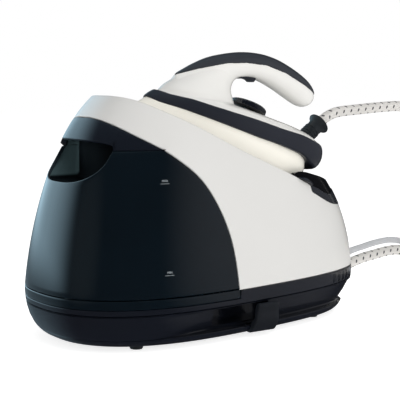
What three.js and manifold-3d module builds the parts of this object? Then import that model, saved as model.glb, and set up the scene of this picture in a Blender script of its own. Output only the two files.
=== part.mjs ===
// Steam generator iron: a water-tank base station with a steam iron resting on its sloping deck.
// Millimetres, +Z up. X runs along the station with the water tank at -X and the iron's heel at +X.
// The origin is on the surface the station stands on, under the middle of its outline.
import * as THREE from 'three';
import { mergeVertices, mergeGeometries } from 'three/addons/utils/BufferGeometryUtils.js';
import Module from 'manifold-3d';

const wasm = await Module();
wasm.setup();

// ---------- driving dimensions ----------
const HALF_LENGTH = 190;          // station, middle to either end
const HALF_WIDTH = 95;            // station at mid length; the outline is wider at the tank end
const TAPER = 0.3;                // how much the outline narrows towards the heel end
const TANK_END_POWER = 2.38;      // superellipse powers of the outline's two ends
const HEEL_END_POWER = 3;
const FLOOR_GAP = 4;              // underside of the base above the surface, on its feet
const TRAY_TOP = 38.2;
const RIM_TOP = 52.2;             // top of the base rim, where the white shell starts
const RIM_SHELF = 44;             // the rim is lower under the tank
const HOOD_TOP = 244;             // top of the hood above the tank
const GAP = 0.3;                  // clearance between touching pieces
const WALL = 3;                   // shell thickness
const CREST = 191.5;              // parting line between tank and tank lid
const RING = 40;                  // points round each outline
const FLATNESS = 0.04;            // faces within this of one plane are merged

const IRON_TILT = THREE.MathUtils.degToRad(24);
const DECK_HEIGHT = 158;          // deck plane's distance from the origin, along its own normal
const SOLE_NOSE = -186;           // iron, along its sole from the origin's foot on the deck
const SOLE_HEEL = 36;
const BAND_HEEL = 66;
const BAND_HALF_WIDTH = 56;

const HOSE_DIAMETER = 12;
const MAINS_DIAMETER = 7.6;
const HOSE_COIL = { x: 402, y: -55, radius: 66 };      // radius of the coil's middle turn
const MAINS_COIL = { x: 432, y: 70, radius: 41 };

// ---------- geometry helpers ----------
const vec = (x, y, z) => new THREE.Vector3(x, y, z);
const rad = THREE.MathUtils.degToRad;

// A closed solid through equal rings of points, lowest first, capped at both ends.
function loft(rings) {
  const count = rings[0].length;
  const points = rings.flat();
  const triangles = [];
  for (let level = 0; level + 1 < rings.length; level++) {
    for (let i = 0; i < count; i++) {
      const a = level * count + i;
      const b = level * count + (i + 1) % count;
      triangles.push(a, b, b + count, a, b + count, a + count);
    }
  }
  for (const [level, up] of [[0, false], [rings.length - 1, true]]) {
    const middle = rings[level].reduce((sum, p) => sum.add(p), vec(0, 0, 0)).divideScalar(count);
    points.push(middle);
    for (let i = 0; i < count; i++) {
      const a = level * count + i;
      const b = level * count + (i + 1) % count;
      triangles.push(points.length - 1, up ? a : b, up ? b : a);
    }
  }
  const geometry = new THREE.BufferGeometry().setFromPoints(points);
  geometry.setIndex(triangles);
  return geometry;
}

function toSolid(geometry) {
  const bare = geometry.clone();
  bare.deleteAttribute('normal');
  bare.deleteAttribute('uv');
  const merged = mergeVertices(bare, 1e-3);
  return new wasm.Manifold(new wasm.Mesh({
    numProp: 3,
    vertProperties: new Float32Array(merged.attributes.position.array),
    triVerts: new Uint32Array(merged.index.array),
  }));
}

function toGeometry(solid) {
  const mesh = solid.simplify(FLATNESS).getMesh();
  const geometry = new THREE.BufferGeometry();
  geometry.setAttribute('position', new THREE.BufferAttribute(mesh.vertProperties, 3));
  geometry.setIndex(new THREE.BufferAttribute(mesh.triVerts, 1));
  return geometry;
}

// A solid between y = from and y = to whose section is the closed outline of [x, z] points.
function extrudeAlongY(outline, from, to) {
  const shape = new THREE.Shape(outline.map(([x, z]) => new THREE.Vector2(x, z)));
  const geometry = new THREE.ExtrudeGeometry(shape, { depth: to - from, bevelEnabled: false });
  return toSolid(geometry.rotateX(Math.PI / 2).translate(0, to, 0));
}

function extrudeUp(shape, from, to) {
  const geometry = new THREE.ExtrudeGeometry(shape, {
    depth: to - from, bevelEnabled: false, curveSegments: 8,
  });
  return toSolid(geometry.translate(0, 0, from));
}

function box(low, high) {
  const size = high.map((value, i) => value - low[i]);
  const geometry = new THREE.BoxGeometry(...size);
  return toSolid(geometry.translate(...low.map((value, i) => value + size[i] / 2)));
}

// A turned solid about +Z through (x, y): profile is [radius, z] pairs from axis to axis.
function turned(profile, segments, x = 0, y = 0) {
  const outline = profile.map(([radius, z]) => new THREE.Vector2(radius, z));
  return new THREE.LatheGeometry(outline, segments).rotateX(Math.PI / 2).translate(x, y, 0);
}

// Turns a solid made about +Z so that its axis runs along `axis`, with its zero at `start`.
function along(geometry, start, axis) {
  const turn = new THREE.Quaternion().setFromUnitVectors(vec(0, 0, 1), axis.clone().normalize());
  return geometry.applyQuaternion(turn).translate(start.x, start.y, start.z);
}

// A round tube along a curve through the points, with flat ends.
function tube(points, diameter, steps, sides = 8) {
  const path = new THREE.CatmullRomCurve3(points, false, 'centripetal');
  const section = new THREE.Shape();
  for (let i = 0; i < sides; i++) {
    const angle = (i + 0.5) * 2 * Math.PI / sides;
    const x = Math.cos(angle) * diameter / 2;
    const y = Math.sin(angle) * diameter / 2;
    if (i === 0) section.moveTo(x, y);
    else section.lineTo(x, y);
  }
  return new THREE.ExtrudeGeometry(section, { extrudePath: path, steps, bevelEnabled: false });
}

function mesh(name, geometry, material) {
  const made = new THREE.Mesh(geometry, material);
  made.name = name;
  return made;
}

function plastic(color, roughness) {
  return new THREE.MeshStandardMaterial({ color, roughness, metalness: 0 });
}

function metal(color, roughness) {
  return new THREE.MeshStandardMaterial({ color, roughness, metalness: 1 });
}

const navyGloss = () => plastic(0x1b1e2a, 0.25);
const tankSmoke = () => plastic(0x0e1a20, 0.12);
const whiteGloss = () => plastic(0xe1e0dc, 0.25);
const creamPlastic = () => plastic(0xece6d7, 0.35);
const charcoal = () => plastic(0x32343e, 0.4);
const blackMatt = () => plastic(0x15181c, 0.6);
const rubber = () => plastic(0x121315, 0.8);
const steel = () => metal(0xb9bcc0, 0.35);
const brass = () => metal(0xc9a34e, 0.35);

// ---------- the station's outline ----------
const signedPower = (value, power) => Math.sign(value) * Math.abs(value) ** power;

// Semi-length of the shell towards either end and its half width, at height z above the rim.
function shellSpan(z) {
  const t = (z - 52) / 188;
  return {
    tankEnd: HALF_LENGTH - 18 * t - 36.5 * t ** 2 - 14 * t ** 8,
    heelEnd: HALF_LENGTH - 19.5 * t - 85 * t ** 2 - 84 * t ** 4,
    side: HALF_WIDTH - 8 * t - 30 * t ** 2,
  };
}

// The base under the rim rounds in to its underside.
function baseSpan(z) {
  const q = THREE.MathUtils.clamp((52 - z) / (52 - FLOOR_GAP), 0, 1);
  const rounding = 1 - (1 - q ** 2.2) ** (1 / 2.2);
  return {
    tankEnd: HALF_LENGTH - 30 * rounding,
    heelEnd: HALF_LENGTH - 22 * rounding,
    side: HALF_WIDTH - 20 * rounding,
  };
}

// One outline at height z, moved inwards by inset, which may depend on x.
function outlineRing(z, inset = 0) {
  const span = z < 52 ? baseSpan(z) : shellSpan(z);
  const ring = [];
  for (let i = 0; i < RING; i++) {
    const angle = (i + 0.5) * 2 * Math.PI / RING;
    const c = Math.cos(angle);
    const s = Math.sin(angle);
    const power = 2 / (c < 0 ? TANK_END_POWER : HEEL_END_POWER);
    const reach = c < 0 ? span.tankEnd : span.heelEnd;
    const x = reach * signedPower(c, power);
    const move = typeof inset === 'number' ? inset : inset(x);
    const shrinkX = (reach - move) / reach;
    const width = (span.side - move) * (1 - TAPER * x / HALF_LENGTH);
    ring.push(vec(x * shrinkX, width * signedPower(s, power), z));
  }
  return ring;
}

function levels(from, to, count) {
  return Array.from({ length: count + 1 }, (_, i) => from + (to - from) * i / count);
}

function stationSolid(from, to, count, inset = 0) {
  return toSolid(loft(levels(from, to, count).map((z) => outlineRing(z, inset))));
}

// ---------- lines drawn on the side elevation, [x, z] ----------
function smoothLine(points, divisions) {
  const curve = new THREE.SplineCurve(points.map(([x, z]) => new THREE.Vector2(x, z)));
  return curve.getPoints(divisions).map((p) => [p.x, p.y]);
}

// Top edge of the water tank and lower edge of the white shell, from the front lip to the rim.
const tankSeam = smoothLine(
  [[-150, 232], [-119, 209], [-82, 186], [-52, 159], [-28, 110], [-18.5, 52], [-17, 20]], 22);
// Top edge of the white shell, from the hood's front to its heel end.
const hoodRim = [[-210, 249], [-128, 245], [-106, 240], [-84, 229.5], [-54, 215.5], [0, 189], [72, 159]];
// Lower edge of the heel console, from the end of the hood rim round to the back.
const consoleEdge = [[72, 159], [96, 148], [99, 138], [111, 131.7], [129, 125], [151, 122], [210, 119]];

const shifted = (line, dx, dz) => line.map(([x, z]) => [x + dx, z + dz]);

function belowSeam(dx, dz) {
  const line = shifted(tankSeam, dx, dz);
  return extrudeAlongY([[-260, line[0][1] + 60], ...line, [line.at(-1)[0], -10], [-260, -10]], -150, 150);
}

function aboveSeam(dx, dz) {
  const line = shifted(tankSeam, dx, dz);
  return extrudeAlongY([...line, [line.at(-1)[0], -10], [260, -10], [260, 320], [-150, 320]], -150, 150);
}

function belowRim(drop) {
  const line = shifted([...hoodRim, ...consoleEdge.slice(1)], 0, -drop);
  return extrudeAlongY([...line, [210, -10], [-210, -10]], -150, 150);
}

// ---------- the iron's frame ----------
// x along the sole from nose (-) to heel (+), z up from the sole; its zero is on the deck.
const ironFrame = new THREE.Matrix4().makeRotationY(IRON_TILT)
  .setPosition(DECK_HEIGHT * Math.sin(IRON_TILT), 0, DECK_HEIGHT * Math.cos(IRON_TILT));

const inStation = (solid) => toSolid(toGeometry(solid).applyMatrix4(ironFrame));

// The iron's plan at its band, moved outwards by grow: a pointed nose and a rounded heel.
function ironPlan(nose, heel, halfWidth, grow = 0) {
  const tip = nose - grow * 1.4;
  const back = heel + grow;
  const side = halfWidth + grow;
  const widest = -25;
  const shape = new THREE.Shape();
  shape.moveTo(tip, 0);
  shape.bezierCurveTo(tip + 4, -side * 0.42, -95, -side, widest, -side);
  shape.bezierCurveTo(widest + 45, -side, back, -side * 0.98, back, 0);
  shape.bezierCurveTo(back, side * 0.98, widest + 45, side, widest, side);
  shape.bezierCurveTo(-95, side, tip + 4, side * 0.42, tip, 0);
  return shape;
}

function ironRing(z, nose, heel, halfWidth, grow = 0) {
  const points = ironPlan(nose, heel, halfWidth, grow).getPoints(8);
  if (points[0].distanceTo(points.at(-1)) < 1e-6) points.pop();
  return points.map((p) => vec(p.x, p.y, z));
}

// The nose leans back as it rises.
const noseAt = (z) => SOLE_NOSE + 0.72 * z;

// The space that the iron rises through from the deck.
function ironClearance() {
  const sole = extrudeUp(ironPlan(SOLE_NOSE, SOLE_HEEL, BAND_HALF_WIDTH - 1, 5), 0, 260);
  const band = extrudeUp(ironPlan(-150, BAND_HEEL, BAND_HALF_WIDTH, 4), 32.5, 260);
  return inStation(sole.add(band));
}

// ---------- base ----------
const CHANNEL = { low: 13, high: 37, depth: 13 };       // groove the hose winds into
const POCKET = { from: -42, to: 33, low: 16, high: 36, depth: 34 };  // recess behind the cord clip

const channelDepth = (x) => CHANNEL.depth * THREE.MathUtils.smoothstep(x, -125, -40);

function baseTray() {
  const outer = toSolid(loft([FLOOR_GAP, 5.5, 8, 12, 18, 26, TRAY_TOP].map((z) => outlineRing(z))));
  const channelInner = toSolid(loft([CHANNEL.low, 16, CHANNEL.high - 2, CHANNEL.high]
    .map((z, i) => outlineRing(28, (x) => channelDepth(x) * (i === 0 || i === 3 ? 0.8 : 1) - 0.6)
      .map((p) => vec(p.x, p.y, z)))));
  const channel = stationSolid(CHANNEL.low, CHANNEL.high, 1, -30).subtract(channelInner)
    .subtract(box([-260, -150, 0], [-124, 150, 60]));
  const hollow = toSolid(loft([8, 12, 30, TRAY_TOP + 1].map((z) => outlineRing(Math.min(z + 8, 30), 22)
    .map((p) => vec(p.x, p.y, z)))));
  const side = -HALF_WIDTH - 20;
  const pocket = box([POCKET.from, side, POCKET.low], [POCKET.to, -HALF_WIDTH + POCKET.depth, POCKET.high]);
  const pocketWall = box([POCKET.from - WALL, side, 5], [POCKET.to + WALL, -HALF_WIDTH + POCKET.depth + WALL, 60]);
  return outer.subtract(hollow.subtract(pocketWall)).subtract(channel).subtract(pocket)
    .subtract(clipSlot()).subtract(pinSolid(CLIP.pin + GAP, CLIP.from - 7, CLIP.to + 7))
    .subtract(glandHoles()).subtract(footHoles());
}

function baseRim() {
  const band = stationSolid(TRAY_TOP + GAP, RIM_TOP, 3);
  const inside = stationSolid(TRAY_TOP + 4, RIM_TOP + 3, 2, 6);
  const underTank = box([-260, -150, RIM_SHELF], [tankSeam.at(-2)[0] + 1.2, 150, 80]);
  const tubeHole = toSolid(turned([[0, 30], [6, 30], [6, 60], [0, 60]], 12, STEAM_TUBE_HOLE.x, STEAM_TUBE_HOLE.y));
  const screwHoles = SCREW_PLACES.map(([x, y]) => toSolid(turned([[0, 30], [2.3, 30], [2.3, 60], [0, 60]], 10, x, y)));
  const rim = band.subtract(inside).subtract(underTank).subtract(tubeHole).subtract(glandHoles());
  return screwHoles.reduce((left, hole) => left.subtract(hole), rim);
}

const FOOT_PLACES = [[-115, -60], [-115, 60], [120, -40], [120, 40]];

function footHoles() {
  const holes = FOOT_PLACES.map(([x, y]) => toSolid(turned([[0, -5], [5, -5], [5, 6.6], [0, 6.6]], 12, x, y)));
  return holes.reduce((sum, hole) => sum.add(hole));
}

function foot(x, y) {
  return turned([[0, 0], [6, 0], [6.6, 1], [6.6, 3.7], [4.6, 3.7], [4.6, 6.2], [0, 6.2]], 12, x, y);
}

const SCREW_PLACES = [[-70, -55], [-70, 55], [80, -40], [80, 40]];

// Flat screws through the rim's floor.
function baseScrew(x, y) {
  return turned([[0, 38.5], [2, 38.5], [2, 42.5], [4, 42.5], [4, 43.2], [3, 43.9], [0, 43.9]], 8, x, y);
}

// ---------- cord clip on the tray's side ----------
const CLIP = { from: 4, to: 32, hinge: { y: -79.5, z: 7.4 }, pin: 1.5 };

function clipSlot() {
  return box([CLIP.from - 0.6, -150, 2], [CLIP.to + 0.6, CLIP.hinge.y + 3.4, 13.2]);
}

// A bent flap: up past the channel's mouth from its hinge, with a thumb edge turned out on top.
function cordClip() {
  const { y, z } = CLIP.hinge;
  const outline = [
    [y + 2.4, z - 2.4], [y + 2.4, z + 2.4], [y - 3, z + 5.2], [-91.5, 20], [-92.6, 33.2], [-95.6, 36.4],
    [-97.6, 35.2], [-96.8, 32], [-95.6, 18], [-86, z - 2.8],
  ];
  const shape = new THREE.Shape(outline.map(([py, pz]) => new THREE.Vector2(py, pz)));
  const geometry = new THREE.ExtrudeGeometry(shape, { depth: CLIP.to - CLIP.from, bevelEnabled: false });
  geometry.applyMatrix4(new THREE.Matrix4().set(0, 0, 1, CLIP.from, 1, 0, 0, 0, 0, 1, 0, 0, 0, 0, 0, 1));
  return toGeometry(toSolid(geometry).subtract(pinSolid(CLIP.pin + 0.05, CLIP.from - 2, CLIP.to + 2)));
}

function pinSolid(radius, from, to) {
  const pin = turned([[0, 0], [radius, 0], [radius, to - from], [0, to - from]], 12);
  return toSolid(along(pin, vec(from, CLIP.hinge.y, CLIP.hinge.z), vec(1, 0, 0)));
}

// ---------- tank ----------
const GRIP_RECESS = { halfWidth: 52, depth: 31, arch: 9, back: -130 };
const TANK_VALVE = { x: -19, z: 60, radius: 4.6 };

// The finger recess under the lid: a rounded opening with a flat back wall.
function recess(grow, halfHeight) {
  const shape = new THREE.Shape();
  const sides = 28;
  for (let i = 0; i < sides; i++) {
    const angle = 2 * Math.PI * i / sides;
    const y = (GRIP_RECESS.halfWidth + grow) * signedPower(Math.cos(angle), 2 / 3);
    const z = CREST + (halfHeight + grow) * signedPower(Math.sin(angle), 2 / 3);
    if (i === 0) shape.moveTo(y, z);
    else shape.lineTo(y, z);
  }
  const start = -230;
  const depth = GRIP_RECESS.back + grow - start;
  const geometry = new THREE.ExtrudeGeometry(shape, { depth, bevelEnabled: false });
  return toSolid(geometry.applyMatrix4(
    new THREE.Matrix4().set(0, 0, 1, start, 1, 0, 0, 0, 0, 1, 0, 0, 0, 0, 0, 1)));
}

function valveHole(radius) {
  const hole = turned([[0, 0], [radius, 0], [radius, 30], [0, 30]], 14);
  return toSolid(along(hole, vec(TANK_VALVE.x - 18, 0, TANK_VALVE.z), vec(1, 0, 0)));
}

function tankShell() {
  const bottom = RIM_SHELF + GAP;
  const levelsUp = [bottom, 52, 82, 112, 140, 166, CREST - GAP];
  const outer = toSolid(loft(levelsUp.map((z) => outlineRing(z))))
    .intersect(belowSeam(-GAP - 0.2, -GAP - 0.2));
  const inner = toSolid(loft([bottom + WALL, 82, 112, 140, 166, CREST + 5].map((z) => outlineRing(z, WALL))))
    .intersect(belowSeam(-WALL - 1.2, -WALL - 1.2)).subtract(recess(WALL, GRIP_RECESS.depth));
  return outer.subtract(inner).subtract(recess(0, GRIP_RECESS.depth)).subtract(valveHole(5));
}

const FILLER = { x: -113, radius: 11.5, flange: 12.6 };

function tankLid() {
  const outer = stationSolid(CREST, HOOD_TOP, 6).intersect(belowSeam(-GAP - 0.2, -GAP - 0.2));
  const inner = stationSolid(CREST - 2, HOOD_TOP, 6, WALL).intersect(belowSeam(-WALL - 1, -WALL - 1))
    .subtract(recess(WALL, GRIP_RECESS.arch));
  const floor = stationSolid(CREST, CREST + 2.2, 1, 1).intersect(belowSeam(-4, -4));
  const neck = turned([[0, CREST - 12], [FILLER.radius, CREST - 12], [FILLER.radius, CREST + 2.4],
    [FILLER.flange + 1, CREST + 2.4], [FILLER.flange + 1, 240], [0, 240]], 20, FILLER.x);
  return outer.subtract(inner).add(floor).subtract(recess(0, GRIP_RECESS.arch)).subtract(toSolid(neck));
}

// A quarter-turn cap with a finger bar, sunk in the lid's top.
function fillerCap() {
  const { x, radius, flange } = FILLER;
  const cap = toSolid(turned([[0, CREST], [radius - 0.4, CREST], [radius - 0.4, CREST + 2.5],
    [flange, CREST + 2.5], [flange, CREST + 5], [0, CREST + 5]], 20, x));
  const bar = box([x - 1.6, -8.5, CREST + 4], [x + 1.6, 8.5, CREST + 7]);
  return toGeometry(cap.add(bar));
}

// A spring valve in the tank's rear wall; its nose plugs into the socket behind the tank.
function tankValve() {
  const { radius } = TANK_VALVE;
  const profile = [[0, 0], [8, 0], [8, 3], [radius, 3], [radius, 17.5], [2.4, 19.5], [0, 19.5]];
  return along(turned(profile, 14), vec(TANK_VALVE.x - 9, 0, TANK_VALVE.z), vec(1, 0, 0));
}

function bayWall() {
  const behind = stationSolid(RIM_TOP + 0.4, 214, 8, WALL + 0.6);
  const sheet = belowSeam(3.4, 3.4).subtract(belowSeam(0.4, 0.4));
  return behind.intersect(sheet).intersect(aboveSeam(0.4, 0.4)).subtract(valveHole(9.6));
}

function tankCoupling() {
  const profile = [[5, 0], [9, 0], [9, 6], [11, 6], [11, 8], [6.5, 8], [6.5, 12], [5, 12], [5, 0]];
  return along(turned(profile, 12), vec(TANK_VALVE.x + 1.6, 0, TANK_VALVE.z), vec(1, 0, 0));
}

// ---------- white body shell, deck and console ----------
function bodyShell() {
  const outer = stationSolid(RIM_TOP + GAP, HOOD_TOP + 4, 9);
  const inner = stationSolid(RIM_TOP - 2, HOOD_TOP + 6, 9, WALL);
  return outer.subtract(inner).intersect(aboveSeam(0, 0)).intersect(belowRim(0));
}

function deckPlane(low, high) {
  return inStation(box([-260, -150, low], [160, 150, high]));
}

function restDeck() {
  const inside = stationSolid(90, HOOD_TOP + 4, 7, WALL + 0.4);
  const slab = deckPlane(-5, -0.4);
  const wall = inside.subtract(stationSolid(88, HOOD_TOP + 6, 7, WALL + 6)).intersect(deckPlane(-5, 60));
  return inside.intersect(slab).add(wall).intersect(belowRim(2)).intersect(consoleFront(0.4))
    .subtract(belowSeam(4, 4)).subtract(ironClearance());
}

// Everything ahead of the heel console.
function consoleFront(gap) {
  return inStation(box([-260, -150, -100], [SOLE_HEEL + 6 - gap, 150, 200]));
}

function consoleTop(lower) {
  const line = shifted(consoleEdge, 0.3, 0.3);
  const corner = [[190, 128 - lower], [150, 151 - lower], [84, 167 - lower]];
  return extrudeAlongY([...line, ...corner], -150, 150);
}

const PANEL = { x: 159.3, z: 138.5, tilt: rad(55), halfWidth: 20, halfHeight: 8 };

const panelFrame = new THREE.Matrix4().makeRotationY(PANEL.tilt).setPosition(PANEL.x, 0, PANEL.z);

function panelBox(grow, low, high) {
  const { halfWidth, halfHeight } = PANEL;
  const block = box([-halfHeight - grow, -halfWidth - grow, low], [halfHeight + grow, halfWidth + grow, high]);
  return toSolid(toGeometry(block).applyMatrix4(panelFrame));
}

function heelConsole() {
  const cap = stationSolid(100, 190, 8).intersect(consoleTop(0));
  const hollow = stationSolid(98, 192, 8, 4).intersect(consoleTop(4).add(extrudeAlongY(
    [[60, 100], [210, 100], [210, 122], [151, 126], [111, 136], [96, 152], [60, 152]], -150, 150)))
    .subtract(inStation(box([-260, -150, -60], [SOLE_HEEL + 10, 150, 200])));
  const ahead = inStation(box([-260, -150, -60], [SOLE_HEEL + 6.4, 150, 200]));
  const arms = stationSolid(98, 192, 8, 4).intersect(ahead);
  const shell = cap.subtract(hollow).subtract(arms).subtract(ironClearance()).subtract(panelBox(GAP, -2, 40));
  return BUTTON_PLACES.reduce((left, y) => left.subtract(panelRound(6.4, -4.4, 0, y)), shell);
}

function controlPanel() {
  let plate = panelBox(0, -1.6, 0.9);
  for (const y of BUTTON_PLACES) plate = plate.subtract(panelRound(6, -6, 8, y));
  for (const y of LENS_PLACES) plate = plate.subtract(panelRound(1.9, -6, 8, y));
  return plate;
}

const BUTTON_PLACES = [-12, 12];
const LENS_PLACES = [-2.7, 2.7];

function panelRound(radius, low, high, y, segments = 16) {
  const round = turned([[0, low], [radius, low], [radius, high], [0, high]], segments, 0, y);
  return toSolid(round.applyMatrix4(panelFrame));
}

function panelButton(y) {
  const crown = [[0, -1.2], [5.6, -1.2], [5.6, 2.4], [4.8, 3.2], [0, 3.5]];
  return turned(crown, 18, 0, y).applyMatrix4(panelFrame);
}

function indicatorLens(y) {
  return turned([[0, -1], [1.6, -1], [1.6, 1], [1, 1.5], [0, 1.7]], 8, 0, y).applyMatrix4(panelFrame);
}

// ---------- inside the station ----------
const BOILER = { x: 78, radius: 45, low: TRAY_TOP + 4.4, high: 96 };
const PUMP = { x: 9, z: 64, radius: 14, from: 18, to: 66 };
const STEAM_TUBE_HOLE = { x: 156, y: 12 };

function boiler() {
  const { radius, low, high, x } = BOILER;
  return turned([[0, low], [radius - 12, low], [radius - 4, low + 6], [radius - 4, low + 22], [radius, low + 22],
    [radius, low + 26], [radius - 4, low + 26], [radius - 6, high - 12], [radius - 18, high - 2], [0, high]], 22, x);
}

function steamValve() {
  const low = BOILER.high + GAP;
  return turned([[0, low], [7, low], [7, low + 4], [10, low + 4], [10, low + 16], [0, low + 16]], 16, BOILER.x);
}

function waterPump() {
  const length = PUMP.to - PUMP.from;
  const { radius } = PUMP;
  const profile = [[0, 0], [4, 0], [4, 8], [radius, 8], [radius, length - 12], [7, length - 12], [7, length], [0, length]];
  return along(turned(profile, 14), vec(PUMP.x, PUMP.from, PUMP.z), vec(0, 1, 0));
}

function controlBoard() {
  return toGeometry(box([30, -62, 56], [92, -60.4, 92]));
}

function suctionTube() {
  const start = TANK_VALVE.x + 13.9;
  return tube([vec(start, 0, 60), vec(start + 4, 0, 60), vec(PUMP.x - 3, 4, 62), vec(PUMP.x, 11, 64),
    vec(PUMP.x, PUMP.from - GAP, 64)], 5, 8, 6);
}

function pressureTube() {
  return tube([vec(PUMP.x, PUMP.to + GAP, 64), vec(PUMP.x, 73, 64), vec(20, 79, 65), vec(42, 70, 68), vec(57, 56, 72),
    vec(62.6, 43, 74)], 5, 12, 6);
}

function steamTube() {
  const start = BOILER.x + 10 + GAP;
  const height = BOILER.high + 9;
  return tube([vec(start, 0, height), vec(start + 12, 0, height), vec(118, 2, 98), vec(138, 6, 84), vec(150, 10, 66),
    vec(STEAM_TUBE_HOLE.x, STEAM_TUBE_HOLE.y, 48), vec(STEAM_TUBE_HOLE.x, STEAM_TUBE_HOLE.y, 36)], 6, 14, 6);
}

// ---------- cord outlets at the heel end ----------
const HOSE_EXIT = { start: vec(163, 12, 24), axis: vec(Math.cos(rad(18)), 0, Math.sin(rad(18))), length: 32 };
const MAINS_EXIT = { start: vec(158, 36, 25), axis: vec(Math.cos(rad(17)), 0, Math.sin(rad(17))), length: 38 };

const exitPoint = (exit, distance) => exit.start.clone().addScaledVector(exit.axis, distance);

function glandHole(exit, radius) {
  const hole = turned([[0, 0], [radius, 0], [radius, 70], [0, 70]], 16);
  return toSolid(along(hole, exitPoint(exit, -1), exit.axis));
}

function glandHoles() {
  return glandHole(HOSE_EXIT, 10.4).add(glandHole(MAINS_EXIT, 8.4));
}

function hoseGland() {
  const { length } = HOSE_EXIT;
  const profile = [[0, 0], [10, 0], [10, 12], [9, 13], [9, 15], [9.6, 16], [9, 17], [8.4, 22], [7.6, length], [0, length]];
  return along(turned(profile, 18), HOSE_EXIT.start, HOSE_EXIT.axis);
}

function mainsGland() {
  const { length } = MAINS_EXIT;
  const profile = [[0, 0], [8, 0], [8, 11], [6.6, 12], [6.4, 20], [5.2, length], [0, length]];
  return along(turned(profile, 16), MAINS_EXIT.start, MAINS_EXIT.axis);
}

// ---------- iron, built in its own frame ----------
const SHELL_LOW = 47;                                    // underside of the upper shell

function soleplate() {
  let plate = extrudeUp(ironPlan(SOLE_NOSE, SOLE_HEEL, BAND_HALF_WIDTH - 1), 0, 4.5);
  for (const [x, y] of steamHoles()) {
    plate = plate.subtract(toSolid(turned([[0, -2], [1.5, -2], [1.5, 8], [0, 8]], 6, x, y)));
  }
  return plate;
}

// Steam holes in a row along each edge of the nose half, and one at the tip.
function steamHoles() {
  const places = [[-158, 0]];
  for (let i = 0; i < 5; i++) {
    const x = -140 + 22 * i;
    const y = 14 + 27 * Math.sin(Math.PI / 2 * (i + 0.5) / 5);
    places.push([x, y], [x, -y]);
  }
  return places;
}

function heaterPlate() {
  const plate = extrudeUp(ironPlan(SOLE_NOSE + 22, SOLE_HEEL - 12, BAND_HALF_WIDTH - 12), 4.8, 18);
  const chamber = extrudeUp(ironPlan(SOLE_NOSE + 60, SOLE_HEEL - 40, BAND_HALF_WIDTH - 30), 10, 30);
  return plate.subtract(chamber);
}

function skirt() {
  const levelsUp = [[4.8, 0], [12, -0.4], [33.7, -1]];
  const outer = toSolid(loft(levelsUp.map(([z, grow]) =>
    ironRing(z, noseAt(z), SOLE_HEEL + z * 0.04, BAND_HALF_WIDTH - 1, grow))));
  const inner = toSolid(loft([[4, 0], [40, -1]].map(([z, grow]) =>
    ironRing(z, noseAt(z) + 2, SOLE_HEEL + z * 0.04, BAND_HALF_WIDTH - 1, grow - WALL))));
  return outer.subtract(inner);
}

function trimBand() {
  const outer = toSolid(loft([[34, 0.4], [44, 0.6], [56, 0.4], [70, -3]].map(([z, grow]) =>
    ironRing(z, noseAt(z), BAND_HEEL - 0.006 * (z - 52) ** 2 * 1.4, BAND_HALF_WIDTH, grow))));
  const inner = toSolid(loft([[30, 0], [56, 0], [80, -6]].map(([z, grow]) =>
    ironRing(z, noseAt(z) + 3, BAND_HEEL - 1, BAND_HALF_WIDTH, grow - WALL))));
  const topEdge = extrudeAlongY([[-220, 20], [120, 20], [120, 69.5], [48, 69], [11, 66], [-35, 58.6], [-71, 54],
    [-115, 51.8], [-220, 51]], -90, 90);
  return outer.subtract(inner).intersect(topEdge);
}

// Side elevation of the shell's spine and handle, in the iron's frame.
function handleOutline(raise) {
  const shape = new THREE.Shape();
  shape.moveTo(-145, 52.4);
  shape.lineTo(-135.5, 69.5 + raise);
  shape.bezierCurveTo(-114, 99 + raise, -67, 132.4 + raise, -29, 135.5 + raise);
  shape.bezierCurveTo(-5, 137.5 + raise, 36, 131 + raise, 41.5, 117.4);
  shape.bezierCurveTo(42, 111, 36, 104.5, 24, 103.9);
  shape.bezierCurveTo(6, 104.5, -14, 107.6, -33, 107.2);
  shape.bezierCurveTo(-48, 106.8, -62, 100, -67.2, 91.8);
  shape.bezierCurveTo(-71.5, 84, -71, 78, -64.3, 74.8);
  shape.lineTo(-20, 66);
  shape.lineTo(-20, 56);
  return shape;
}

function handleSolid(raise, width, bevel) {
  const geometry = new THREE.ExtrudeGeometry(handleOutline(raise), {
    depth: width - 2 * bevel, bevelEnabled: true, bevelThickness: bevel, bevelSize: bevel * 0.5,
    bevelOffset: -bevel * 0.5, bevelSegments: 2, curveSegments: 6,
  });
  return toSolid(geometry.rotateX(Math.PI / 2).translate(0, width / 2 - bevel, 0));
}

function shellTop(x) {
  return THREE.MathUtils.lerp(53.5, 72, THREE.MathUtils.smoothstep(x, -130, 40));
}

function ironShell() {
  const dome = toSolid(loft([[SHELL_LOW, -4.6], [50, -4.6], [60, -8], [67, -16], [72, -28], [75, -44]]
    .map(([z, grow]) => ironRing(z, noseAt(z) + 1, BAND_HEEL - 3, BAND_HALF_WIDTH, grow)
      .map((p) => vec(p.x, p.y, SHELL_LOW + (z - SHELL_LOW) * (0.55 + 0.45 * (shellTop(p.x) - 53.5) / 18.5))))));
  const hump = toSolid(loft([[52.4, 31, -146, -44], [58.7, 30, -142, -50], [70, 25, -130, -58], [80, 19.5, -120.5, -67],
    [90, 15.5, -109, -68]].map(([z, halfWidth, front, back]) => humpRing(z, halfWidth, front, back))));
  return dome.add(hump).add(handleSolid(-5, 32, 6)).subtract(ironInside()).subtract(dialSeat())
    .subtract(triggerSlot()).subtract(reliefSeat()).subtract(toSolid(ironSteamTube(8)));
}

function humpRing(z, halfWidth, front, back) {
  const ring = [];
  const middle = (front + back) / 2;
  for (let i = 0; i < 24; i++) {
    const angle = 2 * Math.PI * i / 24;
    ring.push(vec(middle + (back - front) / 2 * signedPower(Math.cos(angle), 0.8),
      halfWidth * signedPower(Math.sin(angle), 1.1), z));
  }
  return ring;
}

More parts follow.
